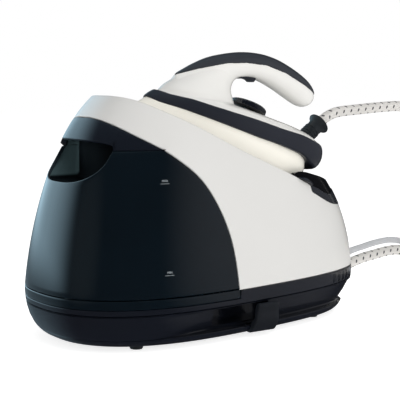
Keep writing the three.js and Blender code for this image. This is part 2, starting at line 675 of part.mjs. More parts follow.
// The hollow over the heater, open below.
function ironInside() {
  return toSolid(loft([[SHELL_LOW - 10, -8], [SHELL_LOW + 4, -9], [SHELL_LOW + 10, -18]].map(([z, grow]) =>
    ironRing(z, noseAt(z) + 12, BAND_HEEL, BAND_HALF_WIDTH, grow))));
}

// The soft strip lying over the top of the handle.
function handleGrip() {
  const over = handleSolid(0, 28, 6).subtract(handleSolid(-5 + GAP, 40, 1));
  const reach = box([-127, -40, 60], [48, 40, 200]);
  return over.intersect(reach).subtract(box([-220, -40, 0], [120, 40, 72]));
}

const DIAL = { x: -37, z: 72.6, radius: 21 };

function dialSeat() {
  return toSolid(turned([[0, DIAL.z], [DIAL.radius + 1, DIAL.z], [DIAL.radius + 1, 92], [0, 92]], 28, DIAL.x))
    .add(toSolid(turned([[0, 40], [3.4, 40], [3.4, 90], [0, 90]], 12, DIAL.x)));
}

function steamDial() {
  const { x, z, radius } = DIAL;
  return turned([[0, z + GAP], [radius, z + GAP], [radius, z + 4.6], [radius - 1.4, z + 6.4], [0, z + 7]], 30, x);
}

function thermostat() {
  return turned([[0, 18.4], [9, 18.4], [9, 30], [3, 30], [3, DIAL.z], [0, DIAL.z]], 14, DIAL.x);
}

const TRIGGER = { x: -53, width: 12 };

function triggerSlot() {
  return box([TRIGGER.x - 12, -TRIGGER.width / 2 - 0.5, 92], [TRIGGER.x + 12, TRIGGER.width / 2 + 0.5, 117.4]);
}

// The steam trigger under the handle: pressed up into it by the forefinger.
function trigger() {
  const outline = [[-10.6, 97.4], [-7, 98.6], [0, 101.2], [8, 101.2], [10.2, 103], [10.2, 108.4], [-10.6, 108.4]];
  return extrudeAlongY(outline.map(([x, z]) => [x + TRIGGER.x, z]), -TRIGGER.width / 2, TRIGGER.width / 2);
}

function triggerSwitch() {
  return toGeometry(box([TRIGGER.x - 8, -5, 112], [TRIGGER.x + 8, 5, 117]));
}

const RELIEF = { x: 46, z: 70, tilt: rad(30), length: 34 };
const reliefAxis = vec(Math.sin(RELIEF.tilt), 0, Math.cos(RELIEF.tilt));

function reliefSeat() {
  return toSolid(along(turned([[0, -6], [9.4, -6], [9.4, 60], [0, 60]], 16), vec(RELIEF.x, 0, RELIEF.z), reliefAxis));
}

function hoseRelief() {
  const { length } = RELIEF;
  const profile = [[0, -5], [9, -5], [9, 5], [9.6, 6], [9.6, 9], [8.8, 10]];
  for (let ring = 0; ring < 3; ring++) {
    const z = 12 + ring * 5;
    profile.push([9.4, z], [8.4, z + 2]);
  }
  profile.push([10, length - 7], [11, length - 3], [10.4, length - 0.6], [8, length], [0, length]);
  return along(turned(profile, 16), vec(RELIEF.x, 0, RELIEF.z), reliefAxis);
}

function ironSteamTube(diameter) {
  return tube([vec(RELIEF.x - 4.2, 0, RELIEF.z - 5.6), vec(44, 0, 56), vec(34, 0, 44), vec(16, 0, 32), vec(-4, 0, 24),
    vec(-12, 0, 19)], diameter, 8, 6);
}

// ---------- cords ----------
const hoseExitEnd = exitPoint(HOSE_EXIT, HOSE_EXIT.length + GAP);
const mainsExitEnd = exitPoint(MAINS_EXIT, MAINS_EXIT.length + GAP);
const reliefEnd = vec(RELIEF.x, 0, RELIEF.z).addScaledVector(reliefAxis, RELIEF.length + GAP).applyMatrix4(ironFrame);
const reliefHeading = reliefAxis.clone().transformDirection(ironFrame);

// From the iron's relief over in an arch, out past the station's end.
function hoseArch() {
  return [reliefEnd, reliefEnd.clone().addScaledVector(reliefHeading, 2.5), vec(168.9, 0, 214), vec(176.5, 0, 217.7),
    vec(185, 0, 220.2), vec(194.5, 0, 221.5), vec(214.6, 0, 222.9), vec(237.6, 0, 224.4), vec(261.1, 0, 225.6),
    vec(281, 0, 226), vec(295.2, 0, 224.1), vec(308.5, -0.3, 218.6), vec(319.9, -1.1, 209.9), vec(328.6, -2.4, 198.5),
    vec(334.1, -4, 185.2), vec(336, -5.4, 171), vec(336, -6, 158), vec(336, -6, 150)];
}

// From the foot of the arch down to the coil, meeting its outer turn.
function hoseDrop() {
  return [vec(336, -6, 149.7), vec(336, -6, 120), vec(336, -6, 104), vec(336, -6.3, 88), vec(336, -9.7, 70.6),
    vec(336, -20.4, 54.8), vec(336, -36.2, 44.1), vec(336, -55, 40.4)];
}

// From the coil back into the station.
function hoseReturn() {
  const { y, radius } = HOSE_COIL;
  return [hoseExitEnd, hoseExitEnd.clone().addScaledVector(HOSE_EXIT.axis, 14), vec(238, 12, 46.4),
    vec(260.5, 12, 49.4), vec(281, 12, 51.8), vec(299, 12, 51.2), vec(316, 12, 46.2), vec(333, 11.8, 37.2),
    vec(348, 11.3, 27), vec(360.8, y + radius, 18.6)];
}

function mainsRun() {
  const { y, radius } = MAINS_COIL;
  return [mainsExitEnd, mainsExitEnd.clone().addScaledVector(MAINS_EXIT.axis, 12), vec(243.6, 36, 52),
    vec(262.9, 35.7, 55.6), vec(282.4, 35, 59), vec(303.9, 33.5, 60.6), vec(322, 31.5, 57.6), vec(340, 29.8, 49),
    vec(356, 28.2, 37.5), vec(372, 26.6, 25), vec(388, y - radius - 3.8, 14), vec(404.6, y - radius - 3.8, 6.8)];
}

// The outer shape of a neat round coil: mean turns of the given radius, `rows` wide and `layers` high.
function coilRing(coil, diameter, rows, layers) {
  const half = diameter * rows / 2;
  const height = diameter * layers;
  const soft = diameter * 0.3;
  const inner = coil.radius - half;
  const outer = coil.radius + half;
  const low = 0.2;
  return turned([[inner, low + soft], [inner + soft, low], [outer - soft, low], [outer, low + soft],
    [outer, low + height - soft], [outer - soft, low + height], [inner + soft, low + height],
    [inner, low + height - soft], [inner, low + soft]], 24, coil.x, coil.y);
}

const PLUG = { x: MAINS_COIL.x + 20, y: MAINS_COIL.y - 30.5, low: 23.6, halfLength: 25, halfWidth: 24, thick: 20 };

function plugBody() {
  const { halfLength, halfWidth, low, thick, x, y } = PLUG;
  const shape = new THREE.Shape();
  shape.moveTo(-halfLength, -halfWidth * 0.55);
  shape.lineTo(-halfLength * 0.6, -halfWidth);
  shape.lineTo(halfLength, -halfWidth);
  shape.lineTo(halfLength, halfWidth);
  shape.lineTo(-halfLength * 0.6, halfWidth);
  shape.lineTo(-halfLength, halfWidth * 0.55);
  const geometry = new THREE.ExtrudeGeometry(shape, {
    depth: thick - 5, bevelEnabled: true, bevelThickness: 2.5, bevelSize: 2, bevelOffset: -2, bevelSegments: 1,
  });
  return geometry.translate(x, y, low + 2.5);
}

// Blades stand up out of the plug's face: one long earth and two shorter.
const PLUG_PINS = {
  plug_pin_earth: { x: 13, y: 0, halfX: 4, halfY: 2, length: 22.7 },
  plug_pin_live: { x: -9, y: 11, halfX: 2, halfY: 3.2, length: 17.7 },
  plug_pin_neutral: { x: -9, y: -11, halfX: 2, halfY: 3.2, length: 17.7 },
};

function plugPin({ x, y, halfX, halfY, length }) {
  const low = PLUG.low + PLUG.thick + 0.1;
  const cx = PLUG.x + x;
  const cy = PLUG.y + y;
  return toGeometry(box([cx - halfX, cy - halfY, low], [cx + halfX, cy + halfY, low + length]));
}

// ---------- assembly ----------
function stationGroup() {
  const group = new THREE.Group();
  group.add(mesh('base_tray', toGeometry(baseTray()), navyGloss()));
  group.add(mesh('base_rim', toGeometry(baseRim()), navyGloss()));
  group.add(mesh('body_shell', toGeometry(bodyShell()), whiteGloss()));
  group.add(mesh('bay_wall', toGeometry(bayWall()), whiteGloss()));
  group.add(mesh('rest_deck', toGeometry(restDeck()), whiteGloss()));
  group.add(mesh('heel_console', toGeometry(heelConsole()), navyGloss()));
  group.add(mesh('control_panel', toGeometry(controlPanel()), navyGloss()));
  LENS_PLACES.forEach((y, i) => group.add(mesh(`indicator_lens_${i + 1}`, indicatorLens(y), plastic(0xd04a1c, 0.2))));
  FOOT_PLACES.forEach(([x, y], i) => group.add(mesh(`foot_${i + 1}`, foot(x, y), rubber())));
  SCREW_PLACES.forEach(([x, y], i) => group.add(mesh(`base_screw_${i + 1}`, baseScrew(x, y), steel())));
  group.add(mesh('boiler', boiler(), steel()));
  group.add(mesh('steam_valve', steamValve(), brass()));
  group.add(mesh('water_pump', waterPump(), charcoal()));
  group.add(mesh('control_board', controlBoard(), plastic(0x2f6b45, 0.5)));
  group.add(mesh('tank_coupling', tankCoupling(), charcoal()));
  group.add(mesh('suction_tube', suctionTube(), creamPlastic()));
  group.add(mesh('pressure_tube', pressureTube(), creamPlastic()));
  group.add(mesh('steam_tube', steamTube(), creamPlastic()));
  group.add(mesh('hose_gland', hoseGland(), rubber()));
  group.add(mesh('mains_gland', mainsGland(), rubber()));
  group.add(mesh('power_button', panelButton(BUTTON_PLACES[0]), blackMatt()));
  group.add(mesh('eco_button', panelButton(BUTTON_PLACES[1]), blackMatt()));
  group.add(mesh('cord_clip', cordClip(), blackMatt()));
  group.add(mesh('clip_pin', toGeometry(pinSolid(CLIP.pin, CLIP.from - 6, CLIP.to + 6)), steel()));
  return group;
}

function tankGroup() {
  const group = new THREE.Group();
  group.add(mesh('tank_shell', toGeometry(tankShell()), tankSmoke()));
  group.add(mesh('tank_lid', toGeometry(tankLid()), navyGloss()));
  group.add(mesh('filler_cap', fillerCap(), charcoal()));
  group.add(mesh('tank_valve', tankValve(), charcoal()));
  return group;
}

function ironGroup() {
  const group = new THREE.Group();
  group.add(mesh('soleplate', toGeometry(soleplate()), steel()));
  group.add(mesh('heater_plate', toGeometry(heaterPlate()), steel()));
  group.add(mesh('skirt', toGeometry(skirt()), creamPlastic()));
  group.add(mesh('trim_band', toGeometry(trimBand()), charcoal()));
  group.add(mesh('iron_shell', toGeometry(ironShell()), whiteGloss()));
  group.add(mesh('handle_grip', toGeometry(handleGrip()), charcoal()));
  group.add(mesh('steam_dial', steamDial(), navyGloss()));
  group.add(mesh('thermostat', thermostat(), steel()));
  group.add(mesh('trigger', toGeometry(trigger()), charcoal()));
  group.add(mesh('trigger_switch', triggerSwitch(), blackMatt()));
  group.add(mesh('hose_relief', hoseRelief(), rubber()));
  group.add(mesh('iron_steam_tube', ironSteamTube(6), creamPlastic()));
  group.applyMatrix4(ironFrame);
  return group;
}

function cordGroup() {
  const group = new THREE.Group();
  const hose = () => plastic(0xe9e6df, 0.7);
  const lead = () => plastic(0xc9cacc, 0.5);
  group.add(mesh('hose_arch', tube(hoseArch(), HOSE_DIAMETER, 14, 10), hose()));
  group.add(mesh('hose_drop', tube(hoseDrop(), HOSE_DIAMETER, 8, 10), hose()));
  group.add(mesh('hose_return', tube(hoseReturn(), HOSE_DIAMETER, 12, 10), hose()));
  group.add(mesh('hose_coil', coilRing(HOSE_COIL, HOSE_DIAMETER, 1, 2.8), hose()));
  group.add(mesh('mains_run', tube(mainsRun(), MAINS_DIAMETER, 16, 8), lead()));
  group.add(mesh('mains_coil', coilRing(MAINS_COIL, MAINS_DIAMETER, 2, 3), lead()));
  group.add(mesh('plug_body', plugBody(), plastic(0xe6e5e1, 0.4)));
  for (const [name, pin] of Object.entries(PLUG_PINS)) group.add(mesh(name, plugPin(pin), brass()));
  return group;
}

const group = new THREE.Group();
group.add(stationGroup(), tankGroup(), ironGroup(), cordGroup());

export default group;
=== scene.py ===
"""Steam generator iron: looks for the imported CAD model.

Shapes are worked out in millimetres and scaled to metres when a mesh is made.
X runs from the water tank (-) to the iron's heel (+), -Y is the side with the cord clip, Z is up.
"""
import math

import bmesh
import bpy
import numpy as np
from mathutils import Matrix, Vector


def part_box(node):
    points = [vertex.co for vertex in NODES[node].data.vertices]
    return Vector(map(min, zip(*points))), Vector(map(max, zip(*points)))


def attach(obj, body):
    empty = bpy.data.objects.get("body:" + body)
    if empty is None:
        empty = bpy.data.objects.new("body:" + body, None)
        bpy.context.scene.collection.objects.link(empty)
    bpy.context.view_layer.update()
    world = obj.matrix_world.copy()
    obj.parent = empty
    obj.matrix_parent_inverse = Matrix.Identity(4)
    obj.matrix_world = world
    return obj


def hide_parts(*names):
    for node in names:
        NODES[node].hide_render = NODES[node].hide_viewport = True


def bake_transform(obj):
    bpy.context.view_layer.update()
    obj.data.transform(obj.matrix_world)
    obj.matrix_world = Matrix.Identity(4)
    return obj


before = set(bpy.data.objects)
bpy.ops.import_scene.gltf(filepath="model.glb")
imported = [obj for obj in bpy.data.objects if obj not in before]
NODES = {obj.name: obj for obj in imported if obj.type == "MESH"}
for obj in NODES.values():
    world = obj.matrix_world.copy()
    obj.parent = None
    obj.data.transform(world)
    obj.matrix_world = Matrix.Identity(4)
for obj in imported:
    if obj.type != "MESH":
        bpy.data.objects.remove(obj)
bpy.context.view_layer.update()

MM = 0.001
rad = math.radians


# ---------------------------------------------------------------- camera
CAMERA = {"azimuth": -34.0, "elevation": 6.271, "distance": 1.2, "target": (-0.00034, 0.0, 0.13173),
          "lens": 102.52}


def make_camera():
    a, e = rad(CAMERA["azimuth"]), rad(CAMERA["elevation"])
    back = Vector((math.sin(a) * math.cos(e), -math.cos(a) * math.cos(e), math.sin(e)))
    data = bpy.data.cameras.new("camera")
    data.lens = CAMERA["lens"]
    data.sensor_width = 36
    data.clip_end = 20
    camera = bpy.data.objects.new("camera", data)
    camera.location = Vector(CAMERA["target"]) + back * CAMERA["distance"]
    camera.rotation_euler = back.to_track_quat("Z", "Y").to_euler()
    bpy.context.scene.collection.objects.link(camera)
    bpy.context.scene.camera = camera


make_camera()

# ---------------------------------------------------------------- mesh helpers


def new_object(name, points, faces, look, crease=35, weld=2e-3):
    """A smooth-shaded object from points in millimetres; edges sharper than crease degrees stay sharp."""
    bm = bmesh.new()
    verts = [bm.verts.new(Vector(p) * MM) for p in points]
    for face in faces:
        corners = [verts[i] for i in dict.fromkeys(face)]
        if len(corners) > 2:
            try:
                bm.faces.new(corners)
            except ValueError:
                pass
    if weld:
        bmesh.ops.remove_doubles(bm, verts=bm.verts, dist=weld * MM)
        bmesh.ops.dissolve_degenerate(bm, edges=bm.edges, dist=1e-7)
    bmesh.ops.recalc_face_normals(bm, faces=bm.faces)
    return object_from(bm, name, look, crease)


def shade_smooth(bm, crease):
    """Shades a mesh smooth, with the edges sharper than crease degrees kept sharp."""
    for face in bm.faces:
        face.smooth = True
    for edge in bm.edges:
        if len(edge.link_faces) == 2:
            edge.smooth = edge.calc_face_angle(0) < rad(crease)


def object_from(bm, name, look, crease=35):
    shade_smooth(bm, crease)
    mesh = bpy.data.meshes.new(name)
    bm.to_mesh(mesh)
    bm.free()
    mesh.materials.append(MATERIALS[look])
    made = bpy.data.objects.new(name, mesh)
    bpy.context.scene.collection.objects.link(made)
    return made


def grid_faces(columns, rows, closed=False):
    faces = []
    for c in range(columns if closed else columns - 1):
        d = (c + 1) % columns
        for r in range(rows - 1):
            faces.append((c * rows + r, d * rows + r, d * rows + r + 1, c * rows + r + 1))
    return faces


def sheet(name, columns, look, closed=False):
    """A skin through equal columns of points."""
    return new_object(name, columns.reshape(-1, 3), grid_faces(*columns.shape[:2], closed), look)


def unit(v):
    length = np.linalg.norm(v, axis=-1, keepdims=True)
    return v / np.where(length < 1e-9, 1, length)


def panel(name, low, high, rows, look, inset=0.0, thickness=3.0, edge=1.2, back=7.0, closed=False):
    """A moulded wall panel on the shell, between two [angle, z] lines with equal points.

    Both edges are rounded over and turned in, so that the panel shows its thickness.
    """

    def surface(share):
        mixed = low * (1 - share) + high * share
        return on_shell(mixed[:, 0], mixed[:, 1], inset)

    lower, upper = surface(0.0), surface(1.0)
    length = np.maximum(np.linalg.norm(upper - lower, axis=1), 1e-6)[:, None]
    cut = np.minimum(edge / length, 0.45)
    body = np.stack([surface(cut + (1 - 2 * cut) * v) for v in np.linspace(0, 1, rows)], axis=1)
    along_v = unit(np.gradient(body, axis=1))
    if closed:
        wrapped = np.concatenate([body[-1:], body, body[:1]])
        along_u = unit(np.gradient(wrapped, axis=0)[1:-1])
    else:
        along_u = unit(np.gradient(body, axis=0))
    normal = unit(np.cross(along_u, along_v))
    middle = body.reshape(-1, 3).mean(0)
    middle[1] = 0
    if (normal * (body - middle)).sum() < 0:
        normal = -normal
    radius = cut * length

    def turned_edge(sharp, row):
        t = unit(body[:, row] - sharp)
        n = normal[:, row]
        wall = np.minimum(thickness, 6 * radius + 0.05)
        arc = []
        for turn in np.array([3, 2, 1, 0]) * math.pi / 8:
            arc.append(sharp + radius * t * (1 - math.cos(turn)) - radius * n * (1 - math.sin(turn)))
        return arc + [sharp - n * wall, sharp - n * wall + t * back * radius / edge]

    first, last = turned_edge(lower, 0), turned_edge(upper, rows - 1)
    columns = np.concatenate([np.stack(first[::-1], 1), body, np.stack(last, 1)], axis=1)
    return sheet(name, columns, look, closed)


def loft(name, rings, look, crease=35):
    """A closed skin through equal rings of points in millimetres, with a flat face at each end."""
    rings = np.asarray(rings, float)
    levels, count = rings.shape[:2]
    faces = []
    for first in range(0, (levels - 1) * count, count):
        for i in range(count):
            j = (i + 1) % count
            faces.append((first + i, first + j, first + count + j, first + count + i))
    faces += [tuple(range(count))[::-1], tuple(range((levels - 1) * count, levels * count))]
    return new_object(name, rings.reshape(-1, 3), faces, look, crease)


def resample(line, count, real=None):
    """count points evenly spaced along a line, by its own length or by that of its real points."""
    line = np.asarray(line, float)
    real = line if real is None else real
    step = np.r_[0, np.cumsum(np.linalg.norm(np.diff(real, axis=0), axis=1))]
    at = np.linspace(0, step[-1], count)
    return np.stack([np.interp(at, step, line[:, k]) for k in range(line.shape[1])], axis=1)


def smooth_line(points, count):
    """A centripetal curve through the points, as count points."""
    p = [np.asarray(q, float) for q in points]
    p = [2 * p[0] - p[1]] + p + [2 * p[-1] - p[-2]]
    out = []
    for a, b, c, d in zip(p, p[1:], p[2:], p[3:]):
        ta, tb, tc = (max(np.linalg.norm(q - r), 1e-6) ** 0.5 for q, r in ((b, a), (c, b), (d, c)))
        m1 = (tb * ((b - a) / ta - (c - a) / (ta + tb)) + (c - b))
        m2 = (tb * ((d - c) / tc - (d - b) / (tb + tc)) + (c - b))
        for s in np.linspace(0, 1, 16, endpoint=False):
            out.append((2 * b - 2 * c + m1 + m2) * s**3 + (-3 * b + 3 * c - 2 * m1 - m2) * s**2 + m1 * s + b)
    out.append(p[-2])
    return resample(out, count)


def modify(target, kind, **settings):
    """Adds a modifier and applies it at once."""
    modifier = target.modifiers.new(kind.lower(), kind)
    for key, value in settings.items():
        setattr(modifier, key, value)
    graph = bpy.context.evaluated_depsgraph_get()
    mesh = bpy.data.meshes.new_from_object(target.evaluated_get(graph))
    target.modifiers.clear()
    target.data = mesh


def combine(target, other, operation):
    modify(target, "BOOLEAN", object=other, operation=operation, solver="EXACT")
    bpy.data.objects.remove(other)


def cut_away(target, cutter):
    combine(target, cutter, "DIFFERENCE")
    reshade(target)


def reshade(target, crease=35):
    bm = bmesh.new()
    bm.from_mesh(target.data)
    bmesh.ops.remove_doubles(bm, verts=bm.verts, dist=1e-6)
    shade_smooth(bm, crease)
    bm.to_mesh(target.data)
    bm.free()


def block(low, high):
    """A plain box to cut with."""
    points = [(x, y, z) for x in (low[0], high[0]) for y in (low[1], high[1]) for z in (low[2], high[2])]
    faces = [(0, 1, 3, 2), (4, 6, 7, 5), (0, 4, 5, 1), (2, 3, 7, 6), (0, 2, 6, 4), (1, 5, 7, 3)]
    return new_object("cutter", points, faces, "black_matt", weld=0)


def round_angles(count):
    return np.linspace(0, 2 * math.pi, count, endpoint=False)


def turned(name, profile, look, matrix, segments=64, crease=35):
    """A turned solid about +Z, set by matrix; profile is (radius, z) from axis to axis, in millimetres."""
    rings = [[(r * math.cos(a), r * math.sin(a), z) for a in round_angles(segments)] for r, z in profile]
    rings = [[tuple(matrix @ Vector(p)) for p in ring] for ring in rings]
    return loft(name, rings, look, crease)


def place(made, body, slot, *nodes):
    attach(made, body)
    if nodes:
        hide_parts(*nodes)
    return made


# ---------------------------------------------------------------- materials
GLOSS_DRIFT = 0.03


def wire(node, inputs):
    """Sets a node's inputs, each to a plain value or to another node's output."""
    for socket, value in inputs.items():
        if hasattr(value, "is_output"):
            node.id_data.links.new(value, node.inputs[socket])
        else:
            node.inputs[socket].default_value = value


def add_node(tree, kind, inputs, **settings):
    node = tree.nodes.new("ShaderNode" + kind)
    for key, value in settings.items():
        setattr(node, key, value)
    wire(node, inputs)
    return node


def math_node(tree, operation, *values):
    return add_node(tree, "Math", dict(enumerate(values)), operation=operation).outputs[0]


def smooth_step(tree, value, start, full, low=0.0):
    inputs = {"Value": value, "From Min": start, "From Max": full, "To Min": low}
    return add_node(tree, "MapRange", inputs, interpolation_type="SMOOTHSTEP").outputs["Result"]


def mix_colours(tree, share, first, second):
    inputs = {"Factor": share, "A": first, "B": second}
    return add_node(tree, "Mix", inputs, data_type="RGBA").outputs["Result"]


def make_material(name, colour, rough, metallic=0.0, coat=0.0, tint=0.04, grain=0.0, grain_scale=900.0,
                  specular=0.5, sheen=0.0):
    """A moulded surface: faint colour drift, uneven gloss and, where it has one, a fine moulded grain."""
    material = bpy.data.materials.new(name)
    material.use_nodes = True
    tree = material.node_tree
    where = add_node(tree, "TexCoord", {}).outputs["Object"]

    def noise(scale, detail):
        return add_node(tree, "TexNoise", {"Scale": scale, "Detail": detail, "Vector": where}).outputs["Fac"]

    ramp = add_node(tree, "ValToRGB", {"Fac": noise(14.0, 3.0)})
    for stop, position, share in zip(ramp.color_ramp.elements, (0.3, 0.7), (1 - tint, 1 + tint)):
        stop.position = position
        stop.color = (*(min(1.0, c * share) for c in colour), 1)
    gloss = add_node(tree, "MapRange", {"Value": noise(60.0, 4.0), "To Min": max(0.02, rough - GLOSS_DRIFT),
                                        "To Max": rough + GLOSS_DRIFT})
    inputs = {"Base Color": ramp.outputs["Color"], "Roughness": gloss.outputs["Result"], "Metallic": metallic,
              "Coat Weight": coat, "Coat Roughness": 0.04, "Specular IOR Level": specular,
              "Sheen Weight": sheen}
    if grain:
        height = noise(grain_scale, 2.0)
        bump = add_node(tree, "Bump", {"Height": height, "Strength": grain, "Distance": 0.0002})
        inputs["Normal"] = bump.outputs["Normal"]
    wire(tree.nodes["Principled BSDF"], inputs)
    return material


# Each material's colour, roughness and whatever else sets it apart.
LOOKS = {
    "navy_gloss": ((0.005, 0.0065, 0.011), 0.2, {"coat": 0.4, "grain": 0.03, "grain_scale": 500}),
    "black_gloss": ((0.004, 0.004, 0.006), 0.09, {"coat": 0.5}),
    "navy_satin": ((0.005, 0.007, 0.012), 0.24, {"coat": 0.3, "grain": 0.05}),
    "tank_smoke": ((0.0016, 0.0046, 0.0075), 0.1, {"coat": 0.6, "tint": 0.12}),
    "console_glass": ((0.0012, 0.0012, 0.002), 0.16, {"specular": 0.05}),
    "white_gloss": ((0.80, 0.79, 0.76), 0.22, {"coat": 0.35, "tint": 0.006, "grain": 0.02}),
    # A darker copy of white_gloss: painted shade on the station's white shell.
    "white_gloss_shaded": ((0.68, 0.672, 0.652), 0.22, {"coat": 0.35, "tint": 0.006, "grain": 0.02}),
    "cream": ((0.93, 0.90, 0.81), 0.34, {"coat": 0.1, "tint": 0.008, "grain": 0.04}),
    "charcoal_satin": ((0.016, 0.0185, 0.027), 0.36, {"coat": 0.12, "grain": 0.12}),
    # A lighter copy of charcoal_satin: painted highlight on the handle's grip.
    "grip_satin_lit": ((0.030, 0.034, 0.042), 0.4, {"coat": 0.1, "grain": 0.12}),
    "black_matt": ((0.008, 0.010, 0.014), 0.45, {"grain": 0.2}),
    # The recess look is painted shade: near black with little reflection, for the inside of the finger
    # recess.
    "recess": ((0.002, 0.003, 0.004), 0.6, {"specular": 0.04, "grain": 0.1}),
    "rubber": ((0.014, 0.018, 0.022), 0.5, {"grain": 0.25}),
    "steel": ((0.56, 0.57, 0.58), 0.28, {"metallic": 1.0, "grain": 0.1}),
    "cast_aluminium": ((0.55, 0.55, 0.56), 0.5, {"metallic": 1.0, "grain": 0.6}),
    "brass": ((0.72, 0.53, 0.24), 0.3, {"metallic": 1.0, "grain": 0.05}),
    "board_green": ((0.02, 0.12, 0.06), 0.45, {"tint": 0.2, "grain": 0.2}),
    "silicone": ((0.72, 0.70, 0.64), 0.4, {"tint": 0.02}),
    "mains_grey": ((0.60, 0.61, 0.63), 0.38, {"tint": 0.02, "grain": 0.08}),
    "plug_white": ((0.76, 0.75, 0.73), 0.32, {"tint": 0.02, "grain": 0.08}),
    "lens_amber": ((0.75, 0.14, 0.02), 0.12, {"coat": 0.5}),
    "mark": ((0.34, 0.38, 0.40), 0.4, {}),
}
MATERIALS = {name: make_material(name, *look[:2], **look[2]) for name, look in LOOKS.items()}


def paint_recess_shade_and_light():
    """Painted shade, near black, inside the finger recess, and painted light on the wall at its far side: a
    dim teal for light shining through the smoked plastic.
    """
    tree = MATERIALS["recess"].node_tree
    where = add_node(tree, "TexCoord", {})
    across = add_node(tree, "SeparateXYZ", {0: where.outputs["Object"]}).outputs["Y"]
    # Painted light on the far (+Y) wall of the recess, painted shade everywhere else in it.
    painted_light_share = smooth_step(tree, across, 0.030, 0.038)
    colour = mix_colours(tree, painted_light_share, (0.0008, 0.001, 0.0016, 1), (0.075, 0.120, 0.130, 1))
    wire(tree.nodes["Principled BSDF"], {"Base Color": colour})


paint_recess_shade_and_light()

# ---------------------------------------------------------------- station outline
HALF_LENGTH, HALF_WIDTH, TAPER = 190.0, 95.0, 0.3
WIDEST, SHELL_HEIGHT = 52, 188
TANK_END_POWER, HEEL_END_POWER = 2.38, 3.0
FLOOR_GAP, TRAY_TOP, RIM_TOP, RIM_SHELF, CREST = 4.0, 38.2, 52.2, 44.0, 191.5


def spans(z):
    """Reach to the tank end, reach to the heel end and half width of the outline at height z."""
    z = np.asarray(z, float)
    t = (z - WIDEST) / SHELL_HEIGHT
    q = np.clip((WIDEST - z) / (WIDEST - FLOOR_GAP), 0, 1)
    rounding = 1 - (1 - q**2.2) ** (1 / 2.2)
    above = z >= WIDEST
    t = np.where(above, t, 0)
    tank = np.where(above, HALF_LENGTH - 18 * t - 36.5 * t**2 - 14 * t**8, HALF_LENGTH - 30 * rounding)
    heel = np.where(above, HALF_LENGTH - 19.5 * t - 85 * t**2 - 84 * t**4, HALF_LENGTH - 22 * rounding)
    side = np.where(above, HALF_WIDTH - 8 * t - 30 * t**2, HALF_WIDTH - 20 * rounding)
    return tank, heel, side


def on_shell(phi, z, inset=0.0):
    """The outline's point on the -Y side at angle phi: 0 = mid tank end, pi = mid heel end.

    inset moves it inwards, by a number or by a function of x.
    """
    phi, z = np.broadcast_arrays(np.asarray(phi, float), np.asarray(z, float))
    tank, heel, side = spans(z)
    c, s = -np.cos(phi), np.abs(np.sin(phi))
    front = c < 0
    power = np.where(front, 2 / TANK_END_POWER, 2 / HEEL_END_POWER)
    reach = np.where(front, tank, heel)
    x = np.sign(c) * reach * np.abs(c) ** power
    move = inset(x) if callable(inset) else inset
    y = (side - move) * (1 - TAPER * x / HALF_LENGTH) * s**power
    x = x * (reach - move) / reach
    y = np.where(np.sin(phi) < 0, y, -y)
    return np.stack([x, y, z], axis=-1)


def angle_at(x, z):
    """The outline's angle where it passes x at height z."""
    tank, heel, _ = spans(z)
    x = np.asarray(x, float)
    front = x < 0
    reach = np.where(front, tank, heel)
    c = np.clip(np.abs(x) / reach, 0, 1) ** np.where(front, TANK_END_POWER / 2, HEEL_END_POWER / 2)
    return np.where(front, np.arccos(c), math.pi - np.arccos(c))


def angle_at_width(y, z):
    """The outline's angle on the tank end where it is y wide at height z."""
    table = np.linspace(0, math.pi / 2, 400)
    return float(np.interp(abs(y), -on_shell(table, z)[:, 1], table))


def to_angles(line):
    """Side-elevation [x, z] points as [angle, z] on the shell, dropping those beyond the ends."""
    line = np.asarray(line, float)
    tank, heel, _ = spans(line[:, 1])
    keep = (line[:, 0] > -tank) & (line[:, 0] < heel)
    line = line[keep]
    return np.stack([angle_at(line[:, 0], line[:, 1]), line[:, 1]], axis=1)


# Edges in the station's side elevation, as [x, z].
SEAM = smooth_line([(-150, 232), (-119, 209), (-82, 186), (-52, 159), (-28, 110), (-18.5, 52),
                    (-17, 20)], 400)
HOOD_RIM = smooth_line([(-140, 245.5), (-124, 244.5), (-106, 240), (-84, 229.5), (-54, 215.5), (0, 189),
                        (72, 159)], 300)
CONSOLE_EDGE = np.array([(72, 159), (95.6, 148.6), (98, 140.6), (106.6, 136), (118.8, 130.4), (131, 125.6),
                         (142, 123), (155, 121.6), (175, 119.5)], float)


def even_on_shell(line, count):
    """Resamples an [angle, z] line evenly by its real length on the shell."""
    line = np.asarray(line, float)
    return resample(line, count, on_shell(line[:, 0], line[:, 1]))


# ---------------------------------------------------------------- cords
HOSE = {"diameter": 12.0, "coil": (402.0, -55.0), "radius": 66.0, "turns": 2.75, "length": 1.75}
MAINS = {"diameter": 7.6, "coil": (432.0, 70.0), "radius": 41.0, "length": 1.8}
IRON_TILT, DECK_HEIGHT = rad(24), 158.0
IRON = Matrix.Rotation(IRON_TILT, 4, "Y")
IRON.translation = Vector((DECK_HEIGHT * math.sin(IRON_TILT), 0, DECK_HEIGHT * math.cos(IRON_TILT)))
IRON_ARRAY = np.array(IRON)
RELIEF = {"x": 46.0, "z": 70.0, "tilt": rad(30), "length": 34.0}
HOSE_EXIT = {"start": (163, 12, 24), "slope": rad(18), "length": 32.0}
MAINS_EXIT = {"start": (158, 36, 25), "slope": rad(17), "length": 38.0}


def on_iron(points):
    points = np.asarray(points, float)
    return points @ IRON_ARRAY[:3, :3].T + IRON_ARRAY[:3, 3]


def exit_point(outlet, distance):
    x, y, z = outlet["start"]
    return np.array([x + distance * math.cos(outlet["slope"]), y, z + distance * math.sin(outlet["slope"])])


def relief_point(distance):
    tilt = RELIEF["tilt"]
    return on_iron([RELIEF["x"] + distance * math.sin(tilt), 0, RELIEF["z"] + distance * math.cos(tilt)])


